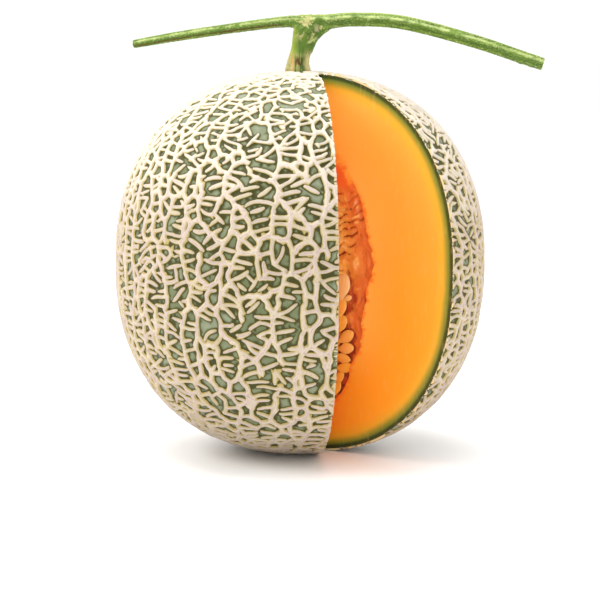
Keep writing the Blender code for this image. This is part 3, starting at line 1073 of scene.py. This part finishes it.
def pulp_path(shape, along, bend=PULP_BEND):
    """Places and wedgeward normals for distances from the cut edge, below 0 on the first cut."""
    side = [(np.sqrt(along**2 + bend**2) + sign * along) / 2 for sign in (-1, 1)]
    ahead = [heading(azimuth) for azimuth in shape.azimuths]
    share = rises(along, -0.003, 0.003)[..., None]
    places = shape.apex * LEVEL + side[0][..., None] * ahead[0] + side[1][..., None] * ahead[1]
    normals = shape.into_wedge[0] * (1 - share) + shape.into_wedge[1] * share
    return places, unit(normals)


def noise_field(points, scale, offset=0.0):
    """Smooth noise at rows of points."""
    shift = Vector((offset, 0, 0))
    return np.array([noise.noise(Vector(row) * scale + shift) for row in points])


def calm_share(level):
    """1 at the hollow's top, where the pulp has no folds."""
    return rises(level, 0.1030, 0.1100)


def fold_heights(along, level, seed):
    """The pulp's folds, 1 on a crest and 0 in a furrow: level ones above, sweeping strings below."""
    flat = np.column_stack([along.ravel(), level.ravel(), np.full(along.size, seed * 0.01)])

    def field(scale, offset=0.0):
        return noise_field(flat, scale, offset).reshape(along.shape)

    drift = field(150)
    out = np.abs(along) * 1000
    steep = 0.02 + 0.085 * rises(level, 0.094, 0.088)
    sweep = 0.20 * out + steep * np.maximum(out - 15, 0) ** 2
    rows = (level * 1000 - sweep + drift * 2.4) / 3.1 + field(420, 5.0) * 0.35
    ridge = 1 - np.abs(2 * (rows - np.floor(rows)) - 1)
    ridge = rises(ridge, 0.02, 0.62)
    ridge = 1 - (1 - ridge) * rises(field(310, 8.0), -0.46, -0.04)
    strings = (out * 0.9 + level * 330 + drift * 3.5) / 1.7
    fine = 0.5 + 0.5 * np.cos(strings * math.tau)
    blobs = field(230, 11.0)
    calm = calm_share(level)
    string = np.maximum(21.8 - 0.592 * (91.7 - level * 1000), 12.0)
    smooth = rises(out - string, 0.3, 2.2) * (1 - rises(level, 0.092, 0.098)) * 0.88
    folds = ridge * 0.62 + fine * 0.10 + blobs * 0.50 + 0.16
    folds = folds * (1 - smooth) + (0.56 + blobs * 0.5 + fine * 0.14) * smooth
    return folds * (1 - calm) + 0.85 * calm


class MELON_OT_pulp(Operator):
    """Build the wet pulp that fills the hollow, folded where the cuts bare it"""

    bl_idname = "melon.pulp"
    bl_label = "Pulp"

    # Points up and across the front, and steps round behind it
    ROWS = 230
    COLUMNS = 141
    TURNS = 30

    def execute(self, context):
        core = context.scene.melon_core
        shape = FruitShape(context.scene.melon_fruit, context.scene.melon_net)
        front, layers = self.front(shape, core.seed)
        points = np.concatenate([front.reshape(-1, 3), *self.rings(shape, front)])
        spare = len(points) - self.ROWS * self.COLUMNS
        attributes = []
        for label, values, behind in layers:
            attributes.append((label, np.concatenate([values.ravel(), np.full(spare, behind)])))
        pulp = mesh_from("pulp", points, self.faces(), attributes)
        pulp.data.materials.append(pulp_material(core))
        join_up(pulp, JOIN_REACH)
        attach(pulp, "root")
        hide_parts("seeds")
        return {"FINISHED"}

    def front(self, shape, seed):
        """The folded front from one cut to the other: a grid of points, and attributes for them."""
        outlines = [hollow_outline(shape, side) for side in (0, 1)]
        known = np.arange(len(outlines[0]))
        index = np.linspace(0, len(known) - 1, self.ROWS)
        edges = []
        for outline in outlines:
            columns = [np.interp(index, known, outline[:, i]) for i in (0, 1)]
            edges.append(np.column_stack(columns))
        share = np.linspace(-1, 1, self.COLUMNS)
        reach = np.where(share[None, :] < 0, edges[0][:, :1], edges[1][:, :1])
        level = np.repeat(edges[1][:, 1:], self.COLUMNS, axis=1)
        level = shape.hollow_z + (level - shape.hollow_z) * 0.996
        squeeze = rises(np.minimum(index, len(known) - 1 - index), 0, 9)[:, None]
        calm = calm_share(level)
        along = share[None, :] * np.maximum(reach - 0.0002 + 0.0006 * calm * squeeze, 0)
        folds = fold_heights(along, level, seed)
        bed = self.seed_bed(along, level)
        tuck = rises(np.abs(share), 0.93, 1.0)[None, :]
        sink = 0.0006 + 0.0019 * (1 - folds) + 0.0008 * bed
        sink = sink * (1 - tuck) + 0.0012 * tuck
        sink = sink * (1 - calm) + 0.00006 * calm
        sink = sink * np.minimum(squeeze + 0.25, 1) * np.minimum(reach / 0.004, 1)
        bend = PULP_BEND * np.clip(edges[1][:, :1] / 0.012, 0, 1)
        places, normals = pulp_path(shape, along, bend)
        places[..., 2] = level
        rim = np.clip((1 - np.abs(share))[None, :] * reach * 1000, 0, 20) / 20
        # The fold value, lowered in the seed bed, carries the painted shade into the pulp's colour
        shade = np.clip(folds - 0.55 * bed, 0, 1)
        layers = (("fold", shade, 0.5), ("rim", rim, 0), ("bed", bed, 0), ("calm", calm, 0))
        return places - normals * sink[..., None], layers

    def rings(self, shape, front):
        """Rows of points that close the pulp behind, from the front's last column to its first."""
        ends = (front[:, -1], front[:, 0])
        spreads = [np.linalg.norm((column - shape.apex) * LEVEL, axis=1) for column in ends]
        turns = [self.azimuth(ends[0], shape), self.azimuth(ends[1], shape) + 360]
        for k in range(1, self.TURNS):
            at = k / self.TURNS
            spread = spreads[0] * (1 - at) + spreads[1] * at
            turn = turns[0] * (1 - at) + turns[1] * at
            ring = np.stack([heading(angle) for angle in turn]) * spread[:, None]
            ring += shape.apex * LEVEL
            ring[:, 2] = ends[0][:, 2] * (1 - at) + ends[1][:, 2] * at
            yield ring

    def faces(self):
        """Quads over the front, and behind it from each upright line of points to the next."""
        faces = []
        for i in range(self.ROWS - 1):
            for j in range(self.COLUMNS - 1):
                a = i * self.COLUMNS + j
                faces.append([a, a + 1, a + self.COLUMNS + 1, a + self.COLUMNS])
        lines = [(self.COLUMNS - 1, self.COLUMNS)]
        lines += [((self.COLUMNS + k) * self.ROWS, 1) for k in range(self.TURNS - 1)]
        lines.append((0, self.COLUMNS))
        for (first, step), (second, next_step) in zip(lines, lines[1:]):
            for i in range(self.ROWS - 1):
                a, b = first + i * step, second + i * next_step
                faces.append([a, b, b + next_step, a + step])
        return faces

    def azimuth(self, points, shape):
        """Azimuths of points round the cut edge; straight back for those on the edge itself."""
        offsets = points - shape.apex
        turn = np.degrees(np.arctan2(offsets[:, 0], -offsets[:, 1]))
        turn[np.linalg.norm(offsets[:, :2], axis=1) < 1e-5] = sum(shape.azimuths) / 2 + 180
        return turn

    def seed_bed(self, along, level):
        """1 where the pulp sinks between the seeds that show."""
        bed = np.zeros(along.shape)
        for place, height, length, *_ in FRONT_SEEDS:
            gap = np.hypot(along - place - 0.0008, (level - height) * 1.1)
            bed = np.maximum(bed, 1 - rises(gap, length * 0.3, length * 0.3 + 0.0030))
        return bed * (1 - rises(along, 0.0190, 0.0220))


class MELON_OT_seeds(Operator):
    """Build the seeds: those that show in the second cut as listed, the others strewn over the pulp"""

    bl_idname = "melon.seeds"
    bl_label = "Seeds"

    # How many seeds, the least distance between two, and how many places are tried for them
    COUNT = 84
    LEAST_GAP = 0.0052
    TRIES = 6000

    def execute(self, context):
        core = context.scene.melon_core
        shape = FruitShape(context.scene.melon_fruit, context.scene.melon_net)
        rng = random.Random(core.seed)
        chosen = self.chosen(shape, core, rng)
        pattern = self.one_seed(context)
        copies = [self.placed(pattern, shape, core, rng, *seed) for seed in chosen]
        bpy.data.objects.remove(pattern)
        seeds = joined(context, copies, "seeds_loose")
        seeds.data.materials.append(husk_material(core))
        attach(seeds, "root")
        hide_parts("seeds")
        return {"FINISHED"}

    def chosen(self, shape, core, rng):
        """All seeds as place, level, length, width, tilt, paleness and how deep each is sunk."""
        chosen = [(*seed, -0.0004) for seed in FRONT_SEEDS]
        reach, half_height = shape.hollow
        for _ in range(self.TRIES):
            if len(chosen) >= self.COUNT:
                break
            level = rng.uniform(-0.9, 0.62)
            width = np.interp(level, *zip(*HOLLOW_STATIONS)) * reach
            along = rng.uniform(-width, width) * 0.86
            height = shape.hollow_z + level * half_height
            if 0.0105 < along and height > 0.02:
                continue
            gaps = (math.hypot(along - seed[0], (height - seed[1]) * 0.8) for seed in chosen)
            if min(gaps) < self.LEAST_GAP:
                continue
            tilt = rng.gauss(20 if along > 0 else 160, 35)
            size = rng.uniform(0.82, 1.05)
            form = (core.seed_length * size, core.seed_width * size, tilt)
            paleness, sink = rng.uniform(0.1, 0.7), rng.uniform(0.0002, 0.0011)
            chosen.append((along, height, *form, paleness, sink))
        return chosen

    def one_seed(self, context):
        """A seed one unit long, wide and thick: a sphere drawn to a point at one end and flattened."""
        bpy.ops.object.select_all(action="DESELECT")
        bpy.ops.mesh.primitive_uv_sphere_add(
            segments=24, ring_count=14, radius=0.5, rotation=(0, math.pi / 2, 0)
        )
        pattern = context.object
        bpy.ops.object.transform_apply(location=True, rotation=True, scale=True)
        bpy.ops.object.mode_set(mode="EDIT")
        bpy.ops.mesh.select_all(action="DESELECT")
        bm = bmesh.from_edit_mesh(pattern.data)
        for vert in bm.verts:
            vert.select = vert.co.x < -0.42
        bm.select_flush_mode()
        bmesh.update_edit_mesh(pattern.data)
        bpy.ops.transform.resize(
            value=(1.0, 0.55, 0.7),
            center_override=(0, 0, 0),
            use_proportional_edit=True,
            proportional_edit_falloff="SMOOTH",
            proportional_size=0.6,
        )
        bpy.ops.object.mode_set(mode="OBJECT")
        bpy.ops.object.shade_smooth()
        return pattern

    def placed(self, pattern, shape, core, rng, along, height, length, width, tilt, paleness, sink):
        """A copy of the seed with its own mesh, in its place on the pulp."""
        place, normal = pulp_path(shape, np.array([along]))
        normal = normal[0]
        thick = core.seed_thickness * length / core.seed_length
        centre = place[0] * LEVEL + UP * height - normal * (sink + thick / 2 + 0.0005)
        across = unit(np.cross(UP, normal))
        turn = math.radians(tilt)
        axis = across * math.cos(turn) + UP * math.sin(turn)
        axis = unit(axis + normal * rng.uniform(-0.12, 0.12))
        side = unit(np.cross(normal, axis))
        turned = np.column_stack([axis * length, side * width, np.cross(axis, side) * thick])
        mesh = pattern.data.copy()
        points = read_rows(mesh.vertices, "co") @ turned.T + centre
        mesh.vertices.foreach_set("co", points.ravel())
        put_attribute(mesh, "pale", np.full(len(points), paleness))
        copy = bpy.data.objects.new("seed", mesh)
        bpy.context.scene.collection.objects.link(copy)
        return copy


def pulp_material(core):
    """Wet orange pulp, redder towards the flesh, with dark brown-red painted shade in its furrows and
    between the seeds, and painted highlights on the crests of its folds.
    """
    paint = Paint("wet_pulp")
    fold, rim, bed, calm = [paint.attribute(label) for label in ("fold", "rim", "bed", "calm")]
    cloud = paint.noise(paint.place(), 170, 3)
    thread = paint.noise(paint.place((300, 300, 900)), 1.0, 3, 0.6)
    # Painted highlight: where the folds crest
    crest = paint.rise(fold + (thread - 0.5) * 0.3, 0.76, 0.98) * paint.rise(cloud, 0.44, 0.58)
    stain = paint.rise(rim * 4.0 + (cloud - 0.5) * 2.4 + (thread - 0.5) * 1.4, 0.10, 0.85)
    colour = paint.layered(
        core.pulp_red,
        (paint.rise(rim + cloud * 0.5, 0.4, 0.95), core.pulp),
        (paint.rise(cloud, 0.5, 0.7) * 0.6, core.pulp_red),
        # Painted shade in the furrows between the folds
        (paint.fall(fold - thread * 0.25, 0.02, 0.42), core.pulp_furrow_shade),
        # Painted shade in the bed between the seeds
        (bed * paint.fall(fold, 0.1, 0.6), core.bed),
        # Painted highlight on the crests of the folds
        (crest * 0.8, core.pulp_highlight),
        (calm, paint.mix(stain * 0.9, core.flesh, core.blush)),
    )
    paint.bump(thread + cloud * 0.5, 0.0004, 0.5)
    return paint.finish(
        colour,
        0.3 + cloud * 0.15,
        subsurface_weight=0.3,
        subsurface_radius=(0.9, 0.3, 0.1),
        subsurface_scale=0.003,
        coat_weight=0.35,
        coat_roughness=0.2,
    )


def husk_material(core):
    """Seeds in a wet film, some bare and pale."""
    paint = Paint("seed_husk")
    cloud = paint.noise(paint.place(), 420, 3)
    share = paint.attribute("pale") * 1.1 + (cloud - 0.5) * 0.35
    colour = paint.mix(paint.rise(share, 0.1, 0.95), core.husk, core.husk_pale)
    paint.bump(cloud, 0.0003, 0.4)
    return paint.finish(
        colour,
        0.3 + cloud * 0.1,
        subsurface_weight=0.25,
        subsurface_radius=(0.9, 0.4, 0.15),
        subsurface_scale=0.002,
        coat_weight=0.4,
        coat_roughness=0.2,
    )


# Stations of the stem: x, y, height over the fruit's top, radius
VINE = (
    (-0.0680, 0.0070, 0.0100, 0.0019),
    (-0.0480, 0.0050, 0.0135, 0.0022),
    (-0.0260, 0.0025, 0.0167, 0.0023),
    (-0.0060, 0.0000, 0.0190, 0.0025),
    (0.0030, 0.0000, 0.0186, 0.0034),
    (0.0110, -0.0010, 0.0189, 0.0032),
    (0.0225, -0.0030, 0.0197, 0.0031),
    (0.0420, -0.0055, 0.0183, 0.0030),
    (0.0700, -0.0085, 0.0111, 0.0029),
    (0.0970, -0.0110, 0.0020, 0.0029),
)
STALK = (
    (-0.0008, 0.0000, -0.0022, 0.0054),
    (-0.0008, 0.0000, 0.0000, 0.0054),
    (-0.0009, 0.0000, 0.0024, 0.0047),
    (-0.0001, 0.0000, 0.0059, 0.0044),
    (0.0005, 0.0000, 0.0089, 0.0043),
    (0.0012, 0.0000, 0.0124, 0.0048),
    (0.0022, 0.0000, 0.0159, 0.0052),
    (0.0034, 0.0000, 0.0184, 0.0040),
)
WEB = (
    (0.0016, 0.0000, 0.0074, 0.0036),
    (0.0034, 0.0000, 0.0118, 0.0036),
    (0.0060, -0.0004, 0.0152, 0.0033),
    (0.0120, -0.0012, 0.0186, 0.0026),
)

# Swellings where the vine meets the stalk: place over the fruit's top, and half size
KNOBS = (
    ((0.0072, -0.0010, 0.0139), (0.0018, 0.0022, 0.0018)),
    ((0.0048, -0.0032, 0.0128), (0.0017, 0.0013, 0.0024)),
    ((0.0022, -0.0034, 0.0162), (0.0024, 0.0013, 0.0020)),
    ((0.0068, -0.0026, 0.0168), (0.0026, 0.0014, 0.0018)),
)

# The lights by name, each with its place and its size
LIGHTS = (
    ("key", (-1.3, -0.2, 1.2), 0.8),
    ("front", (0.25, -1.58, 0.45), 1.0),
    ("top", (-0.15, 0.2, 1.6), 1.2),
    ("side", (1.4, 0.3, 0.7), 1.0),
)


def smooth_path(stations):
    """Closely spaced rows through the stations, on a smooth curve."""
    rows = np.array(stations)
    ends = np.vstack([2 * rows[0] - rows[1], rows, 2 * rows[-1] - rows[-2]])
    path = []
    for a, b, c, d in zip(ends, ends[1:], ends[2:], ends[3:]):
        count = max(2, int(np.linalg.norm((c - b)[:3]) / STEM_STEP))
        bow, pull = 2 * a - 5 * b + 4 * c - d, 3 * b - a - 3 * c + d
        for t in np.arange(count) / count:
            path.append(((2 * b) + (c - a) * t + bow * t**2 + pull * t**3) / 2)
    path.append(rows[-1])
    return np.array(path)


def ribbed_tube(context, name, stations, depth, twist):
    """A mesh tube along the stations, swept from a ring with five ribs."""
    ring = bpy.data.curves.new("ring", "CURVE")
    outline = ring.splines.new("POLY")
    outline.points.add(RING_POINTS - 1)
    for i, point in enumerate(outline.points):
        turn = math.tau * i / RING_POINTS
        reach = 1.0 - depth + depth * math.cos(RIBS * turn)
        point.co = (math.cos(turn) * reach, math.sin(turn) * reach, 0, 1)
    outline.use_cyclic_u = True
    profile = bpy.data.objects.new("ring", ring)
    context.scene.collection.objects.link(profile)
    curve = bpy.data.curves.new(name, "CURVE")
    curve.dimensions = "3D"
    curve.bevel_mode = "OBJECT"
    curve.bevel_object = profile
    curve.use_fill_caps = True
    path = smooth_path(stations)
    spline = curve.splines.new("POLY")
    spline.points.add(len(path) - 1)
    for i, (point, row) in enumerate(zip(spline.points, path)):
        point.co = (row[0], row[1], row[2] + FRUIT_TOP, 1)
        point.radius = row[3]
        point.tilt = twist * i
    tube = bpy.data.objects.new(name, curve)
    context.scene.collection.objects.link(tube)
    bpy.ops.object.select_all(action="DESELECT")
    tube.select_set(True)
    context.view_layer.objects.active = tube
    bpy.ops.object.convert(target="MESH")
    bpy.data.objects.remove(profile)
    return context.object


class MELON_OT_stem(Operator):
    """Build the ribbed stalk and the stretch of vine on it"""

    bl_idname = "melon.stem"
    bl_label = "Stem"

    def execute(self, context):
        parts = [
            ribbed_tube(context, "vine", VINE, 0.10, 0.006),
            ribbed_tube(context, "stalk", STALK, 0.09, 0.012),
            ribbed_tube(context, "web", WEB, 0.05, 0.0),
        ]
        for place, size in KNOBS:
            bpy.ops.mesh.primitive_uv_sphere_add(segments=20, ring_count=12, radius=1)
            context.object.scale = size
            context.object.location = Vector(place) + Vector((0, 0, FRUIT_TOP))
            parts.append(context.object)
        stem = joined(context, parts, "vine_stem")
        bpy.ops.object.transform_apply(location=True, rotation=True, scale=True)
        bpy.ops.object.modifier_add(type="REMESH")
        stem.modifiers[-1].voxel_size = 0.00034
        bpy.ops.object.modifier_apply(modifier=stem.modifiers[-1].name)
        bpy.ops.object.modifier_add(type="CORRECTIVE_SMOOTH")
        stem.modifiers[-1].iterations = 12
        stem.modifiers[-1].use_only_smooth = True
        bpy.ops.object.modifier_apply(modifier=stem.modifiers[-1].name)
        self.finish_surface(stem.data)
        stem.data.materials.clear()
        stem.data.materials.append(stem_material(context.scene.melon_stem))
        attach(stem, "root")
        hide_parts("stem")
        return {"FINISHED"}

    def finish_surface(self, mesh):
        """Roughens the joint and the foot, and stores where on the stem each point lies."""
        points = read_rows(mesh.vertices, "co")
        normals = read_rows(mesh.vertex_normals, "vector")
        from_joint = (points - [0.004, 0, FRUIT_TOP + 0.0165]) * [1, 1, 1.2]
        joint = 1 - rises(np.linalg.norm(from_joint, axis=1), 0.004, 0.011)
        foot = 1 - rises(points[:, 2], FRUIT_TOP + 0.0005, FRUIT_TOP + 0.007)
        rough = noise_field(points, 420) * 0.6 + noise_field(points, 900, 4.0) * 0.4
        points = points + normals * (rough * (0.00012 + 0.0006 * joint + 0.0003 * foot))[:, None]
        mesh.vertices.foreach_set("co", points.ravel())
        nearest = []
        for stations in (VINE, STALK):
            path = smooth_path(stations) + [0, 0, FRUIT_TOP, 0]
            tree = search_tree(path[:, :3])
            index, gaps = zip(*(tree.find(row)[1:] for row in points))
            nearest.append((path, np.array(index), np.array(gaps) / path[list(index), 3]))
        (vine, vine_index, vine_gaps), (_, _, stalk_gaps) = nearest
        under_vine = 1 - rises(points[:, 2], FRUIT_TOP + 0.0155, FRUIT_TOP + 0.0185)
        on_stalk = rises(vine_gaps - stalk_gaps, -0.25, 0.25) * under_vine
        lift = (points[:, 2] - vine[vine_index, 2]) / vine[vine_index, 3]
        outermost = (vine_index < 3) | (vine_index > len(vine) - 4)
        cut = (np.abs(normals[:, 0]) > 0.8) & outermost
        for label, values in (("stalk", on_stalk), ("lift", lift), ("joint", joint), ("cut", cut)):
            put_attribute(mesh, label, values)
        mesh.polygons.foreach_set("use_smooth", np.ones(len(mesh.polygons), bool))
        mesh.update()


def stem_material(props):
    """Green vine with a pale painted highlight along its top, painted shade and a brown streak under
    it, and a stalk with painted light on its left side and a corky foot.
    """
    paint = Paint("green_stem")
    stalk, lift, joint, cut = [paint.attribute(label) for label in ("stalk", "lift", "joint", "cut")]
    vine = 1 - stalk
    x, _, z = paint.axes()
    height = z - FRUIT_TOP
    along_x = paint.noise(paint.place((90, 900, 900)), 1.0, 3, 0.6)
    along_z = paint.noise(paint.place((900, 900, 110)), 1.0, 3, 0.6)
    grey = paint.node("ShaderNodeRGBToBW", {}, {"Color": paint.mix(stalk, along_x, along_z)})
    cloud = paint.noise(paint.place(), 260, 3)
    fine = paint.noise(paint.place(), 1500, 2)
    wander = (grey - 0.5) * 0.002
    flecks = paint.rise(fine + cloud * 0.4, 0.70, 0.86) * vine * 0.5
    round_to = lift + (grey - 0.5) * 0.35
    # Painted highlight: a pale band along the vine's ridge near its top
    ridge = paint.band(round_to, 0.12, 0.34, 0.46, 0.60) * paint.rise(cloud, 0.3, 0.6)
    # Painted shade: a darker band along the vine's lower middle, below the lit ridge
    furrow = paint.band(round_to, -0.60, -0.42, -0.12, 0.08)
    dry = paint.band(round_to, -0.72, -0.58, -0.40, -0.25) * paint.fall(x, -0.006, 0.002)
    dry = dry * vine * paint.rise(cloud, 0.35, 0.55)
    # Painted light: the stalk's left side, towards the key light, turns yellow green
    lit = stalk * paint.rise(wander - x, 0.0, 0.0036) * paint.rise(height, 0.002, 0.008)
    low = stalk * paint.fall(height + (cloud - 0.5) * 0.004, 0.0040, 0.0085)
    edge = paint.rise(wander - x, 0.0018, 0.0034) + paint.rise(x + wander, 0.0012, 0.0030)
    cork = low * (edge * 0.55 + paint.fall(grey, 0.44, 0.56) * 0.35)
    tan = height * -0.1 - x + (cloud - 0.5) * 0.002
    rust = low * paint.band(tan, 0.0020, 0.0026, 0.0029, 0.0036)
    rust = rust * paint.rise(cloud + grey * 0.3, 0.62, 0.74)
    middle = paint.band(x, -0.0024, -0.0014, 0.0004, 0.0014) * paint.rise(height, 0.0008, 0.0020)
    middle = middle * paint.fall(height + (grey - 0.5) * 0.006, 0.0040, 0.0058)
    middle = middle * stalk * paint.rise(grey, 0.38, 0.52)
    knots = joint * paint.rise(fine * 0.4 + cloud, 0.72, 0.84)
    spur = height - x * 0.5 - 0.0090 + (cloud - 0.5) * 0.0014
    spur = paint.band(spur, -0.0009, -0.0003, 0.0003, 0.0010)
    spur = spur * paint.band(x, 0.0020, 0.0036, 0.0062, 0.0078) * paint.rise(grey, 0.36, 0.52)
    leaf = ((x - 0.0066) ** 2 + ((height - 0.0164) * 0.7) ** 2) ** 0.5
    leaf = leaf + (cloud - 0.5) * 0.0050 + (fine - 0.5) * 0.0010
    colour = paint.layered(
        props.green,
        (paint.rise(grey, 0.42, 0.66), props.dark),
        (stalk * 0.45, props.dark),
        (flecks, props.pale),
        # Painted highlight along the vine's ridge
        (ridge * vine * 0.8, props.pale),
        # Painted light along the vine's top edge
        (paint.rise(round_to, 0.74, 0.90) * vine * 0.8, props.lit),
        # Painted shade along the vine's lower middle
        (furrow * vine * 0.65, props.dark),
        (dry * 0.8, props.brown),
        # Painted light on the stalk's left side
        (lit * 0.85, props.lit),
        (cork, props.corky),
        (rust * 0.7, props.rust),
        (middle * 0.95, props.brown),
        (knots * 0.7, props.corky),
        (spur * 0.75, props.pale),
        (paint.fall(leaf, 0.0020, 0.0028) * 0.6, props.dark),
        (paint.fall(leaf, 0.0008, 0.0014) * 0.7, props.scar),
        (cut, props.pith),
    )
    paint.bump(grey + fine * 0.25, 0.0005, 0.6)
    return paint.finish(colour, 0.5 + cloud * 0.15, specular_ior_level=0.25)


class MELON_OT_studio(Operator):
    """Set up the floor, the soft light and the camera"""

    bl_idname = "melon.studio"
    bl_label = "Studio"

    def execute(self, context):
        studio = context.scene.melon_studio
        middle = Vector((0, 0, FRUIT_TOP - context.scene.melon_fruit.middle))
        self.floor(studio)
        for name, location, size in LIGHTS:
            self.area_light(name, location, size, getattr(studio, name), middle)
        world = bpy.data.worlds.new("room")
        world.use_nodes = True
        background = world.node_tree.nodes["Background"]
        background.inputs["Color"].default_value = (1, 1, 1, 1)
        background.inputs["Strength"].default_value = studio.room
        context.scene.world = world
        context.scene.view_settings.view_transform = "Standard"
        data = bpy.data.cameras.new("camera")
        data.lens = studio.lens
        camera = bpy.data.objects.new("camera", data)
        rise = math.radians(studio.elevation)
        camera.location = middle + Vector((0, -math.cos(rise), math.sin(rise))) * studio.distance
        camera.rotation_euler = (math.pi / 2 - rise - math.radians(studio.aim_below), 0, 0)
        context.scene.collection.objects.link(camera)
        context.scene.camera = camera
        return {"FINISHED"}

    def floor(self, studio):
        bpy.ops.mesh.primitive_plane_add(size=60, location=(0, 0, -0.0002))
        floor = bpy.context.object
        floor.name = "floor"
        paint = Paint("pale_floor")
        speckle = paint.noise(paint.place(), 120, 2)
        tint = paint.mix(speckle * 0.02, studio.floor, (0.8, 0.8, 0.8))
        floor.data.materials.append(paint.finish(tint, 0.35, specular_ior_level=0.3))

    def area_light(self, name, location, size, power, target):
        data = bpy.data.lights.new(name, "AREA")
        data.energy = power
        data.size = size
        light = bpy.data.objects.new(name, data)
        light.location = location
        light.rotation_euler = (target - light.location).to_track_quat("-Z", "Y").to_euler()
        bpy.context.scene.collection.objects.link(light)


class MELON_PT_panel(Panel):
    bl_label = "Netted Melon"
    bl_idname = "MELON_PT_panel"
    bl_space_type = "VIEW_3D"
    bl_region_type = "UI"
    bl_category = "Melon"

    def draw(self, context):
        for operator in OPERATORS:
            self.layout.operator(operator.bl_idname)
        for name in GROUPS:
            box = self.layout.box()
            group = getattr(context.scene, name)
            for key in group.bl_rna.properties.keys():
                if key not in {"rna_type", "name"}:
                    box.prop(group, key)


GROUPS = {
    "melon_fruit": MelonFruit,
    "melon_net": MelonNet,
    "melon_core": MelonCore,
    "melon_stem": MelonStem,
    "melon_studio": MelonStudio,
}
OPERATORS = (MELON_OT_fruit, MELON_OT_pulp, MELON_OT_seeds, MELON_OT_stem, MELON_OT_studio)


def register():
    for group in GROUPS.values():
        bpy.utils.register_class(group)
    for operator in (*OPERATORS, MELON_PT_panel):
        bpy.utils.register_class(operator)
    for name, group in GROUPS.items():
        setattr(bpy.types.Scene, name, PointerProperty(type=group))


def unregister():
    for name in GROUPS:
        delattr(bpy.types.Scene, name)
    for listed in (MELON_PT_panel, *OPERATORS, *GROUPS.values()):
        bpy.utils.unregister_class(listed)


def main():
    register()
    bpy.ops.melon.fruit()
    bpy.ops.melon.pulp()
    bpy.ops.melon.seeds()
    bpy.ops.melon.stem()
    bpy.ops.melon.studio()


if __name__ == "__main__":
    main()
